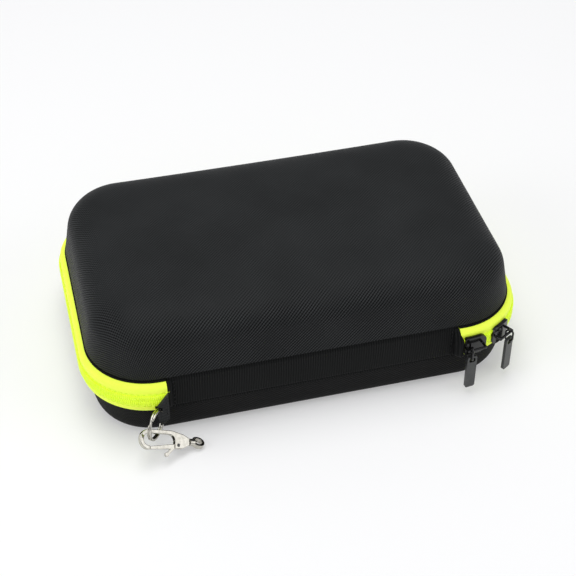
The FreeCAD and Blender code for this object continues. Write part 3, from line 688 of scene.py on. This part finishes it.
upper_tape = carried("upper_tape", run_tape, upper_path)
dress(upper_tape, lime_tape, "lid")
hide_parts("upper_zip_tape")
lower_tape = carried("lower_tape", flipped(run_tape), lower_path)
dress(lower_tape, lime_tape, "base")
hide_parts("lower_zip_tape")
# Behind the webbing only the tape's upper edge runs on to the seam, over the ring's tunnel
tail_section = [(tape_outer, 24.6), (tape_outer, 27.0), (tape_inner, 27.0), (tape_inner, 24.6)]
lower_tail = carried("lower_tape_tail", tail_section, stations(left_stop - 1.0, 270.0, lead_out=-band_end))
dress(lower_tail, lime_tape, "base")


def finely(path, times=3):
    """More stations between those given, so that a stretch bends smoothly."""
    found = []
    for before, after in zip(path, path[1:]):
        for index in range(times):
            share = index / times
            found.append(tuple(a + (b - a) * share for a, b in zip(before, after)))
    found.append(path[-1])
    return found


def stretch(piece):
    """Hinge stretch, with its place baked into its mesh; it rides on no body."""
    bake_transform(piece)


right_tape = carried("right_hinge_tape", end_tape, finely(right_end_path))
dress(right_tape, lime_tape)
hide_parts("upper_tape_end_right")
stretch(right_tape)
left_tape = carried("left_hinge_tape", end_tape, finely(left_end_path))
dress(left_tape, lime_tape)
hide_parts("upper_tape_end_left")
stretch(left_tape)


# Cloth turned in where the lid is sewn to the tape, made in the base's darker cloth: its black line under the
# lid's edge is painted shade for the groove there
fold_section = [(0.26, 37.02), (0.34, 37.4), (0.26, 37.7), (0.0, 37.88), (-1.3, 37.92), (-1.3, 37.02)]
upper_fold = carried("lid_seam_fold", fold_section, upper_path)
dress(upper_fold, base_cloth_painted_shade, "lid")
for side, path, heading in (("right", right_end_path, right_break), ("left", left_end_path, left_break)):
    hinge_fold = carried(side + "_hinge_seam_fold", fold_section, finely(path))
    dress(hinge_fold, base_cloth_painted_shade)
    stretch(hinge_fold)


# ---------------------------------------------------------------- pieces that repeat

def template(name, points, faces, smooth=True):
    """Small shape, in millimetres about its own middle, for the trees below to repeat."""
    piece = mesh_piece(name, points, faces, smooth=smooth)
    facing_out(piece)
    return piece


def bent_wire(name, path, thickness, sides=6):
    """Template of a wire along points, with closed ends."""
    points = []
    for index, point in enumerate(path):
        before = Vector(path[max(index - 1, 0)])
        after = Vector(path[min(index + 1, len(path) - 1)])
        way = (after - before).normalized()
        side = way.cross(Vector((1.0, 0.0, 0.0)))
        if side.length < 0.1:
            side = way.cross(Vector((0.0, 1.0, 0.0)))
        side.normalize()
        other = way.cross(side)
        for turn in range(sides):
            angle = 2 * math.pi * turn / sides
            points.append(Vector(point) + (side * math.cos(angle) + other * math.sin(angle)) * thickness / 2)
    faces = []
    for index in range(len(path) - 1):
        for turn in range(sides):
            after = (turn + 1) % sides
            faces.append((index * sides + turn, index * sides + after,
                          (index + 1) * sides + after, (index + 1) * sides + turn))
    faces.append(tuple(range(sides)))
    faces.append(tuple(range((len(path) - 1) * sides, len(path) * sides)))
    return template(name, points, faces)


def repeat_tree(name):
    """Tree that repeats a shape along the edges of a path mesh, at an even spacing.

    The shape's X follows the path and its Z stays up. Every copy leans and grows a
    little at random, from a fixed seed, as sewn and wound things do.
    """
    tree = bpy.data.node_groups.new(name, "GeometryNodeTree")
    face = tree.interface
    face.new_socket("Path", in_out="INPUT", socket_type="NodeSocketGeometry")
    face.new_socket("Shape", in_out="INPUT", socket_type="NodeSocketObject")
    face.new_socket("Finish", in_out="INPUT", socket_type="NodeSocketMaterial")
    face.new_socket("Spacing", in_out="INPUT", socket_type="NodeSocketFloat")
    face.new_socket("Lean", in_out="INPUT", socket_type="NodeSocketFloat")
    face.new_socket("Growth", in_out="INPUT", socket_type="NodeSocketFloat")
    face.new_socket("Seed", in_out="INPUT", socket_type="NodeSocketInt")
    face.new_socket("Pieces", in_out="OUTPUT", socket_type="NodeSocketGeometry")
    entry = add(tree, "NodeGroupInput")
    line = add(tree, "GeometryNodeMeshToCurve", None, {"Mesh": entry.outputs["Path"]})
    even = add(tree, "GeometryNodeResampleCurve", {"mode": "LENGTH"},
               {"Curve": line.outputs[0], "Length": entry.outputs["Spacing"]})
    upright = add(tree, "GeometryNodeSetCurveNormal", {"mode": "Z_UP"}, {"Curve": even.outputs[0]})
    dots = add(tree, "GeometryNodeCurveToPoints", {"mode": "EVALUATED"}, {"Curve": upright.outputs[0]})
    along = add(tree, "FunctionNodeAlignEulerToVector", {"axis": "X", "pivot_axis": "Z"},
                {"Vector": dots.outputs["Tangent"]})
    shape = add(tree, "GeometryNodeObjectInfo", None, {"Object": entry.outputs["Shape"]})
    lean_low = add(tree, "ShaderNodeMath", {"operation": "MULTIPLY"}, {0: entry.outputs["Lean"], 1: -1.0})
    lean = add(tree, "FunctionNodeRandomValue", {"data_type": "FLOAT"},
               {2: lean_low.outputs[0], 3: entry.outputs["Lean"], "Seed": entry.outputs["Seed"]})
    tilt = add(tree, "ShaderNodeCombineXYZ", None, {"Z": lean.outputs[1], "Y": lean.outputs[1]})
    placed = add(tree, "GeometryNodeInstanceOnPoints", None,
                 {"Points": dots.outputs["Points"], "Instance": shape.outputs["Geometry"],
                  "Rotation": along.outputs[0]})
    leant = add(tree, "GeometryNodeRotateInstances", None,
                {"Instances": placed.outputs[0], "Rotation": tilt.outputs[0]})
    least = add(tree, "ShaderNodeMath", {"operation": "SUBTRACT"}, {0: 1.0, 1: entry.outputs["Growth"]})
    most = add(tree, "ShaderNodeMath", {"operation": "ADD"}, {0: 1.0, 1: entry.outputs["Growth"]})
    size = add(tree, "FunctionNodeRandomValue", {"data_type": "FLOAT"},
               {2: least.outputs[0], 3: most.outputs[0], "Seed": entry.outputs["Seed"]})
    grown = add(tree, "GeometryNodeScaleInstances", None,
                {"Instances": leant.outputs[0], "Scale": size.outputs[1]})
    real = add(tree, "GeometryNodeRealizeInstances", None, {"Geometry": grown.outputs[0]})
    finished = add(tree, "GeometryNodeSetMaterial", None,
                   {"Geometry": real.outputs[0], "Material": entry.outputs["Finish"]})
    add(tree, "NodeGroupOutput", None, {"Pieces": finished.outputs[0]})
    return tree


def line_mesh(name, points, closed=False):
    """Edges through points in millimetres, for the trees to follow."""
    mesh = bpy.data.meshes.new(name)
    edges = [(index, index + 1) for index in range(len(points) - 1)]
    if closed:
        edges.append((len(points) - 1, 0))
    mesh.from_pydata(metres(points), edges, [])
    piece = bpy.data.objects.new(name, mesh)
    bpy.context.scene.collection.objects.link(piece)
    return piece


def made_by(tree, name, source, **values):
    """Plain mesh piece that a tree makes from a source object, which is then removed."""
    grower = source.modifiers.new("grow", "NODES")
    grower.node_group = tree
    for item in tree.interface.items_tree:
        if item.in_out == "INPUT" and item.name in values:
            grower[item.identifier] = values[item.name]
    bpy.context.view_layer.update()
    graph = bpy.context.evaluated_depsgraph_get()
    mesh = bpy.data.meshes.new_from_object(source.evaluated_get(graph))
    mesh.name = name
    source.modifiers.remove(grower)
    bpy.data.objects.remove(source)
    piece = bpy.data.objects.new(name, mesh)
    bpy.context.scene.collection.objects.link(piece)
    return piece


repeat = repeat_tree("repeat_along_path")

# One turn of the coil: wire that comes up from the tape, lies across it and dips to the head
coil_pitch = 0.95
coil_wire = 0.7
turn_path = [(0.15, 0.0, 2.75), (0.1, -0.42, 2.85), (0.0, -0.62, 2.3), (-0.05, -0.66, 1.2),
             (0.0, -0.62, 0.5), (0.12, -0.40, 0.12), (0.2, -0.05, 0.2)]
coil_turn = bent_wire("coil_turn", turn_path, coil_wire, 6)
lower_turn = bent_wire("lower_coil_turn", [(x, y, -z) for x, y, z in turn_path], coil_wire, 6)
# One machine stitch: a short thread that sinks into the tape at both ends
stitch_path = [(-0.95, 0.0, 0.0), (-0.7, -0.13, 0.0), (0.0, -0.18, 0.0), (0.7, -0.13, 0.0), (0.95, 0.0, 0.0)]
stitch = bent_wire("stitch", stitch_path, 0.3, 5)


# The cord that the coil is sewn over, which fills the space between the turns
cord_section = [(2.45, 0.06), (3.36, 0.06), (3.5, 0.3), (3.52, 2.2), (3.34, 2.62), (2.45, 2.62)]


def sewn_cord(name, path, way, body=None):
    """Cord inside a coil; way is 1 above the middle of the chain and -1 below it."""
    piece = carried(name, [(out, chain_z + way * rise) for out, rise in cord_section], path)
    return dress(piece, lime_tape, body)


def coil(name, node, path, shape, body=None):
    line = line_mesh(name + "_path", [at(s, tape_outer, chain_z) for s in path])
    piece = made_by(repeat, name, line, Shape=shape, Finish=lime_wire, Spacing=coil_pitch * MM,
                    Lean=0.03, Growth=0.0, Seed=3)
    if body:
        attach(piece, body)
    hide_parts(node)
    return piece


coil("upper_coil", "upper_zip_coil", upper_path, coil_turn, "lid")
coil("lower_coil", "lower_zip_coil", lower_chain_path, lower_turn, "base")
stretch(coil("right_hinge_coil", "upper_coil_end_right", stations(-90.0, right_break, lead_in=chain_end),
             coil_turn))
stretch(coil("left_hinge_coil", "upper_coil_end_left", stations(left_break, 270.0, lead_out=-chain_end),
             coil_turn))
sewn_cord("upper_coil_cord", upper_path, 1, "lid")
sewn_cord("lower_coil_cord", lower_chain_path, -1, "base")
stretch(sewn_cord("right_hinge_cord", finely(right_end_path), 1))
stretch(sewn_cord("left_hinge_cord", finely(left_end_path), 1))


def sewn(name, points, finish, body=None, closed=False, spacing=2.6, seed=11):
    """Line of stitches through points."""
    piece = made_by(repeat, name, line_mesh(name + "_path", points, closed), Shape=stitch,
                    Finish=finish, Spacing=spacing * MM, Lean=0.04, Growth=0.06, Seed=seed)
    if body:
        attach(piece, body)
    return piece


sewn("upper_tape_stitches", [at(s, tape_outer + 0.02, chain_z + 3.9) for s in upper_path],
     lime_thread, "lid")
sewn("lower_tape_stitches", [at(s, tape_outer + 0.02, chain_z - 3.9) for s in lower_path],
     lime_thread, "base")
stretch(sewn("right_hinge_stitches", [at(s, tape_outer + 0.02, chain_z + 3.9) for s in finely(right_end_path)],
             lime_thread))
stretch(sewn("left_hinge_stitches", [at(s, tape_outer + 0.02, chain_z + 3.9) for s in finely(left_end_path)],
             lime_thread))


# ---------------------------------------------------------------- spine, creases and binding

def cloth_slab(name, low, high, swell, columns, rows, corner=0.9):
    """Padded slab in the XZ plane whose face at low Y swells outward, with rounded rims."""
    points = []
    uv = []
    width = high[0] - low[0]
    height = high[2] - low[2]
    for side in (0, 1):
        for row in range(rows + 1):
            for column in range(columns + 1):
                x = low[0] + width * column / columns
                z = low[2] + height * row / rows
                from_end = min(x - low[0], high[0] - x) / corner
                from_edge = min(z - low[2], high[2] - z) / corner
                fall = min(1.0, from_end) * min(1.0, from_edge)
                rounded = math.sqrt(max(0.0, 1.0 - (1.0 - min(1.0, fall)) ** 2))
                crown = swell * (1.0 - (2.0 * (row / rows) - 1.0) ** 2)
                y = low[1] + 0.55 * (1.0 - rounded) - crown if side == 0 else high[1]
                points.append((x, y, z))
                uv.append((x * MM, z * MM))
    size = (rows + 1) * (columns + 1)
    faces = []
    for side, start in enumerate((0, size)):
        for row in range(rows):
            for column in range(columns):
                here = start + row * (columns + 1) + column
                faces.append((here, here + 1, here + columns + 2, here + columns + 1))
    rim = [column for column in range(columns)]
    rim += [row * (columns + 1) + columns for row in range(rows)]
    rim += [rows * (columns + 1) + column for column in range(columns, 0, -1)]
    rim += [row * (columns + 1) for row in range(rows, 0, -1)]
    for index, here in enumerate(rim):
        after = rim[(index + 1) % len(rim)]
        faces.append((here, after, size + after, size + here))
    piece = mesh_piece(name, points, faces, uv=uv)
    facing_out(piece)
    return piece


spine_low = (-spine_half, -66.0, 19.65)
spine_high = (spine_half, -64.9, 37.6)
spine_pad = cloth_slab("spine_cloth_panel", spine_low, spine_high, 0.25, 96, 22)
dress(spine_pad, spine_cloth, "spine")
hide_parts("spine_panel")
spine_back = cloth_slab("spine_tricot_lining", (-71.8, -64.88, 19.85), (71.8, -64.3, 37.4), 0.0, 60, 10, 0.3)
dress(spine_back, lining_cloth, "spine")
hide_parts("spine_lining")


def crease(name, z, sunk):
    """Strip of cloth in the fold between two bodies; sunk is how deep it lies under the cloth."""
    points = []
    uv = []
    # Half of the fold's height, and how deep the cloth sinks in it
    half = 0.85
    columns = 72
    face = -66.0 + sunk
    profile = [(face + 0.3, -half), (face, -half * 0.5), (face + 0.12, 0.0), (face, half * 0.5),
               (face + 0.3, half), (face + 0.6, half), (face + 0.5, 0.0), (face + 0.6, -half)]
    for column in range(columns + 1):
        x = -spine_half + 2 * spine_half * column / columns
        for y, rise in profile:
            points.append((x, y, z + rise))
            uv.append((x * MM, rise * MM))
    count = len(profile)
    faces = []
    for column in range(columns):
        for side in range(count):
            after = (side + 1) % count
            faces.append((column * count + side, column * count + after,
                          (column + 1) * count + after, (column + 1) * count + side))
    faces.append(tuple(range(count)))
    faces.append(tuple(range(columns * count, (columns + 1) * count)))
    piece = mesh_piece(name, points, faces, uv=uv)
    facing_out(piece)
    dress(piece, spine_cloth)
    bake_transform(piece)
    return piece


crease("upper_crease_cloth", lid_rim, 0.6)
crease("lower_crease_cloth", base_rim, 0.22)


def seam_tuck(name, sign, reach, front):
    """Folded end of the spine's cloth, rolled out beside the zip so that it covers its end.

    reach is how far its lower half goes past the seam, and front the Y of its face there.
    """
    points = []
    uv = []
    rows = 24
    profile = [(0.0, 0.0), (0.2, 0.42), (0.45, 0.82), (0.72, 1.0), (0.94, 0.94), (1.0, 0.72),
               (0.93, 0.5), (0.55, 0.1), (0.1, -0.1)]
    for row in range(rows + 1):
        z = 20.1 + (37.2 - 20.1) * row / rows
        # The fold closes up towards the two creases, and bares more of the zip at its top
        ease = math.sqrt(max(0.0, 1.0 - abs(2.0 * row / rows - 1.0) ** 5))
        low = min(1.0, max(0.0, (36.6 - z) / 5.5))
        wide = 2.5 + reach * low * low * (3.0 - 2.0 * low)
        deep = 2.4 + (-68.4 - front) * low
        for along, out in profile:
            points.append((sign * (spine_half - 2.4 + wide * along),
                           -65.9 - deep * out * (0.12 + 0.88 * ease), z))
            uv.append((along * wide * MM, z * MM))
    count = len(profile)
    faces = []
    for row in range(rows):
        for side in range(count):
            after = (side + 1) % count
            faces.append((row * count + side, row * count + after,
                          (row + 1) * count + after, (row + 1) * count + side))
    faces.append(tuple(range(count)))
    faces.append(tuple(range(rows * count, (rows + 1) * count)))
    piece = mesh_piece(name, points, faces, uv=uv)
    facing_out(piece)
    dress(piece, spine_cloth, "spine")


seam_tuck("left_spine_tuck", -1.0, 0.0, -68.4)
seam_tuck("right_spine_tuck", 1.0, 1.78, -71.6)
sewn("left_spine_stitches", [(-spine_half + 3.4, -66.12, 21.0), (-spine_half + 3.4, -66.12, 36.4)],
     black_thread, "spine", spacing=2.4)
sewn("right_spine_stitches", [(spine_half - 3.4, -66.12, 21.0), (spine_half - 3.4, -66.12, 36.4)],
     black_thread, "spine", spacing=2.4)


def rim_binding(name, node, body, rim_z, tip_z, lean):
    """Grosgrain folded over the inner rim, with rounded folds."""
    outer = -5.72
    inner = -6.58
    middle = (outer + inner) / 2
    away = math.copysign(1.0, tip_z - rim_z)
    section = [(outer, rim_z + 0.3 * away), (outer - lean, tip_z - 0.3 * away), (middle - lean, tip_z),
               (inner - lean, tip_z - 0.3 * away), (inner - lean * 0.5, (rim_z + tip_z) / 2),
               (inner, rim_z + 0.35 * away), (middle, rim_z + 0.02 * away)]
    piece = carried(name, section, outline, closed=True)
    dress(piece, grosgrain, body)
    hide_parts(node)


rim_binding("lid_grosgrain", "lid_rim_binding", "lid", lid_rim, lid_rim + 3.6, 0.65)
rim_binding("base_grosgrain", "base_rim_binding", "base", base_rim, base_rim - 3.6, 0.5)
sewn("lid_binding_stitches", [at(s, -6.78, lid_rim + 2.6) for s in outline], black_thread,
     "lid", closed=True, spacing=3.0, seed=5)
sewn("base_binding_stitches", [at(s, -6.74, base_rim - 2.6) for s in outline], black_thread,
     "base", closed=True, spacing=3.0, seed=6)


# ---------------------------------------------------------------- sliders, ring and snap hook

def metal(node, name, material, body, edge, segments=3):
    """Stamping or wire with its edges rounded, in place of its CAD node."""
    piece = from_cad(node, name)
    soften(piece, edge, segments)
    dress(piece, material, body)
    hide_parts(node)
    return piece


def casting(node, name, material, body, grain, passes):
    """Die casting in place of its CAD node: every edge melts into a soft round, as tumbling
    leaves it. grain is the size of the faces in millimetres, and passes how often they are eased."""
    piece = from_cad(node, name)
    whole = piece.modifiers.new("even_faces", "REMESH")
    whole.mode = "VOXEL"
    whole.voxel_size = grain * MM
    whole.use_smooth_shade = True
    eased = piece.modifiers.new("tumbled", "SMOOTH")
    eased.factor = 0.5
    eased.iterations = passes
    dress(piece, material, body)
    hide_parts(node)
    return piece


for end in ("front", "rear"):
    casting("slider_" + end + "_body", end + "_slider", black_enamel, "slider_" + end,
            0.15, 7)
    metal("pull_link_" + end, end + "_wire_link", black_enamel, "pull_link_" + end, 0.05, 1)
    metal("pull_tab_" + end, end + "_pull_tab", gunmetal, "pull_tab_" + end, 0.35)

casting("clasp_body", "snap_hook_body", nickel, "clasp", 0.14, 26)
metal("swivel_stud", "snap_hook_stud", nickel, "clasp", 0.12)
metal("lever_pin", "snap_hook_rivet", gunmetal, "clasp", 0.1)
metal("lever_spring", "snap_hook_leaf_spring", spring_steel, "clasp", 0.05, 1)
casting("clasp_lever", "snap_hook_lever", nickel, "clasp_lever", 0.12, 14)
casting("swivel_eye", "snap_hook_eye", nickel, "clasp_eye", 0.13, 6)

# The split ring is one flat wire wound twice, with its ends lying on the turn below
ring_centre = Vector((-79.6286, -74.5763, 18.4))
ring_heading = math.radians(54.4)
ring_mean = 7.35
ring_across = 1.26
ring_wire = 0.96


def split_ring():
    toward_back = Vector((math.cos(ring_heading), math.sin(ring_heading), 0.0))
    normal = Vector((math.sin(ring_heading), -math.cos(ring_heading), 0.0))
    up = Vector((0.0, 0.0, 1.0))
    corners = 12
    steps = 132
    points = []
    for index in range(steps + 1):
        share = index / steps
        turns = share * 1.96
        # The wire keeps to one face, then steps over to the other in a short ramp
        ramp = min(1.0, max(0.0, (turns - 0.90) / 0.16))
        shift = (ramp * ramp * (3.0 - 2.0 * ramp) - 0.5) * 1.02
        angle = 2.0 * math.pi * turns + 2.4
        radial = toward_back * math.cos(angle) + up * math.sin(angle)
        taper = min(1.0, 0.55 + 0.45 * min(share, 1.0 - share) / 0.02)
        for corner in range(corners):
            turn = 2.0 * math.pi * corner / corners
            across = math.copysign(abs(math.cos(turn)) ** 0.6, math.cos(turn)) * ring_across / 2 * taper
            thick = math.copysign(abs(math.sin(turn)) ** 0.6, math.sin(turn)) * ring_wire / 2 * taper
            points.append(ring_centre + radial * (ring_mean + across) + normal * (shift + thick))
    faces = []
    for index in range(steps):
        for corner in range(corners):
            after = (corner + 1) % corners
            faces.append((index * corners + corner, index * corners + after,
                          (index + 1) * corners + after, (index + 1) * corners + corner))
    faces.append(tuple(range(corners)))
    faces.append(tuple(range(steps * corners, (steps + 1) * corners)))
    piece = mesh_piece("nickel_split_ring", points, faces)
    facing_out(piece)
    dress(piece, nickel, "ring")
    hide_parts("split_ring")


split_ring()


# The webbing is folded round the ring and sewn into the seam at its upright edge
def webbing():
    piece = from_cad("webbing_loop", "folded_webbing_loop")
    layer = piece.data.uv_layers.new(name="cloth")
    for loop in piece.data.loops:
        point = piece.data.vertices[loop.vertex_index].co
        layer.data[loop.index].uv = (point.x * 0.55 + point.z, point.x + point.y)
    soften(piece, 0.35, 3)
    dress(piece, webbing_cloth, "base")
    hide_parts("webbing_loop")


webbing()
sewn("webbing_stitches", [(-73.5, -71.55, 21.5), (-73.5, -71.55, 30.4)],
     black_thread, "base", spacing=2.2, seed=9)


# ---------------------------------------------------------------- foam insert and mesh pocket

insert = from_cad("foam_insert", "cut_foam_insert")
soften(insert, 0.7, 2)
dress(insert, cut_foam, "base")
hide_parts("foam_insert")

net_z = 44.4
net_mouth_y = -46.2
net_cell = 2.2
net_thread = 0.8


def in_net(x, y):
    """True inside the net's outline, which follows the lid's inner wall."""
    reach = 23.6
    beyond_x = max(abs(x) - corner_x, 0.0)
    beyond_y = max(abs(y) - corner_y, 0.0)
    return beyond_x ** 2 + beyond_y ** 2 <= reach ** 2 and y >= net_mouth_y + 1.5


def net_tree():
    """Tree that turns the edges of a mesh into round threads of one thickness."""
    tree = bpy.data.node_groups.new("threads_on_edges", "GeometryNodeTree")
    face = tree.interface
    face.new_socket("Edges", in_out="INPUT", socket_type="NodeSocketGeometry")
    face.new_socket("Thickness", in_out="INPUT", socket_type="NodeSocketFloat")
    face.new_socket("Sides", in_out="INPUT", socket_type="NodeSocketInt")
    face.new_socket("Finish", in_out="INPUT", socket_type="NodeSocketMaterial")
    face.new_socket("Net", in_out="OUTPUT", socket_type="NodeSocketGeometry")
    entry = add(tree, "NodeGroupInput")
    lines = add(tree, "GeometryNodeMeshToCurve", None, {"Mesh": entry.outputs["Edges"]})
    half = add(tree, "ShaderNodeMath", {"operation": "MULTIPLY"}, {0: entry.outputs["Thickness"], 1: 0.5})
    ring = add(tree, "GeometryNodeCurvePrimitiveCircle", None,
               {"Resolution": entry.outputs["Sides"], "Radius": half.outputs[0]})
    tube = add(tree, "GeometryNodeCurveToMesh", None,
               {"Curve": lines.outputs[0], "Profile Curve": ring.outputs[0], "Fill Caps": True})
    real = add(tree, "GeometryNodeRealizeInstances", None, {"Geometry": tube.outputs[0]})
    finished = add(tree, "GeometryNodeSetMaterial", None,
                   {"Geometry": real.outputs[0], "Material": entry.outputs["Finish"]})
    add(tree, "NodeGroupOutput", None, {"Net": finished.outputs[0]})
    return tree


def diamond_lines():
    """Zig-zag threads that meet their neighbours at every turn, as in a warp-knitted net."""
    mesh = bpy.data.meshes.new("net_lines")
    points = []
    edges = []
    rows = math.ceil(110.0 / net_cell) * 2
    columns = math.ceil(210.0 / net_cell)
    for column in range(columns):
        before = None
        for row in range(rows):
            side = 1 if (row + column) % 2 else -1
            x = -105.0 + column * net_cell + side * net_cell * 0.40
            y = -58.0 + row * net_cell * 0.62
            if not in_net(x, y):
                before = None
                continue
            points.append(Vector((x, y, net_z + side * 0.03)) * MM)
            if before is not None:
                edges.append((before, len(points) - 1))
            before = len(points) - 1
    mesh.from_pydata(points, edges, [])
    piece = bpy.data.objects.new("net_lines", mesh)
    bpy.context.scene.collection.objects.link(piece)
    return piece


net = made_by(net_tree(), "knitted_net", diamond_lines(), Thickness=net_thread * MM, Sides=5, Finish=net_yarn)
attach(net, "lid")
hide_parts("mesh_pocket_net")


def elastic_edge():
    """Elastic in its knitted sleeve, gathered a little along its length."""
    points = []
    uv = []
    steps = 220
    corners = 12
    half_length = 96.3
    for index in range(steps + 1):
        x = -half_length + 2 * half_length * index / steps
        radius = 1.28 + 0.07 * math.sin(x * 2.1) + 0.04 * math.sin(x * 5.3 + 1.0)
        for corner in range(corners):
            turn = 2.0 * math.pi * corner / corners
            points.append((x, net_mouth_y + radius * math.cos(turn), net_z + radius * math.sin(turn)))
            uv.append((x * MM, radius * turn * MM))
    faces = []
    for index in range(steps):
        for corner in range(corners):
            after = (corner + 1) % corners
            faces.append((index * corners + corner, index * corners + after,
                          (index + 1) * corners + after, (index + 1) * corners + corner))
    faces.append(tuple(range(corners)))
    faces.append(tuple(range(steps * corners, (steps + 1) * corners)))
    piece = mesh_piece("pocket_elastic_edge", points, faces, uv=uv)
    facing_out(piece)
    dress(piece, elastic_cover, "lid")
    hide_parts("mesh_pocket_elastic")
    return piece


elastic = elastic_edge()


for shape in (coil_turn, lower_turn, stitch):
    bpy.data.objects.remove(shape)


# ---------------------------------------------------------------- stage, light and camera

# Seamless white paper: the camera and mirrors see it nearly white, with the soft shadow kept
paper = bpy.data.materials.new("seamless_white_paper")
paper.use_nodes = True
tree = paper.node_tree
tree.nodes.clear()
matt = add(tree, "ShaderNodeBsdfDiffuse", None, {"Color": colour("#FAFAFA")})
lit = add(tree, "ShaderNodeEmission", None, {"Color": colour("#FFFFFF"), "Strength": 1.0})
ray = add(tree, "ShaderNodeLightPath")
seen = add(tree, "ShaderNodeMath", {"operation": "ADD", "use_clamp": True},
           {0: ray.outputs["Is Camera Ray"], 1: ray.outputs["Is Glossy Ray"]})
seen = add(tree, "ShaderNodeMath", {"operation": "ADD", "use_clamp": True},
           {0: seen.outputs[0], 1: ray.outputs["Is Transmission Ray"]})
share = add(tree, "ShaderNodeMath", {"operation": "MULTIPLY"}, {0: seen.outputs[0], 1: 0.32})
mixed = add(tree, "ShaderNodeMixShader", None, {0: share.outputs[0], 1: matt.outputs[0], 2: lit.outputs[0]})
add(tree, "ShaderNodeOutputMaterial", None, {"Surface": mixed.outputs[0]})

floor_half = 3000.0
floor = mesh_piece("floor", [(-floor_half, -floor_half, 0.0), (floor_half, -floor_half, 0.0),
                             (floor_half, floor_half, 0.0), (-floor_half, floor_half, 0.0)],
                   [(0, 1, 2, 3)], smooth=False)
floor.data.materials.append(paper)

world = bpy.data.worlds.new("studio")
world.use_nodes = True
tree = world.node_tree
tree.nodes.clear()
ray = add(tree, "ShaderNodeLightPath")
air = add(tree, "ShaderNodeBackground", None, {"Color": colour("#FAFBFF"), "Strength": 0.42})
white = add(tree, "ShaderNodeBackground", None, {"Color": colour("#FFFFFF"), "Strength": 1.0})
mixed = add(tree, "ShaderNodeMixShader", None,
            {0: ray.outputs["Is Camera Ray"], 1: air.outputs[0], 2: white.outputs[0]})
add(tree, "ShaderNodeOutputWorld", None, {"Surface": mixed.outputs[0]})
bpy.context.scene.world = world


def softbox(name, place, target, width, height, power):
    """Rectangular studio lamp that faces a target."""
    light = bpy.data.lights.new(name, "AREA")
    light.shape = "RECTANGLE"
    light.size = width * MM
    light.size_y = height * MM
    light.energy = power
    lamp = bpy.data.objects.new(name, light)
    place = Vector(place) * MM
    lamp.location = place
    lamp.rotation_euler = (Vector(target) * MM - place).to_track_quat("-Z", "Y").to_euler()
    bpy.context.scene.collection.objects.link(lamp)


softbox("overhead_softbox", (-100.0, 60.0, 1300.0), (0.0, 0.0, 0.0), 1100.0, 800.0, 9.5)
softbox("left_softbox", (-1100.0, -250.0, 650.0), (0.0, 0.0, 30.0), 600.0, 700.0, 3.4)
softbox("right_softbox", (950.0, -650.0, 700.0), (0.0, 0.0, 30.0), 900.0, 900.0, 3.0)

camera_data = bpy.data.cameras.new("camera")
camera_data.lens = 87.16
camera_data.sensor_width = 36.0
camera = bpy.data.objects.new("camera", camera_data)
right = Vector((0.9700, -0.2431, -0.0034))
up = Vector((0.1640, 0.6440, 0.7473))
back = -Vector((0.1794, 0.7254, -0.6645))
turn = Matrix((right, up, back)).transposed()
camera.matrix_world = Matrix.Translation((-0.1266, -0.5236, 0.5015)) @ turn.to_4x4()
bpy.context.scene.collection.objects.link(camera)
bpy.context.scene.camera = camera
bpy.context.scene.view_settings.view_transform = "Standard"
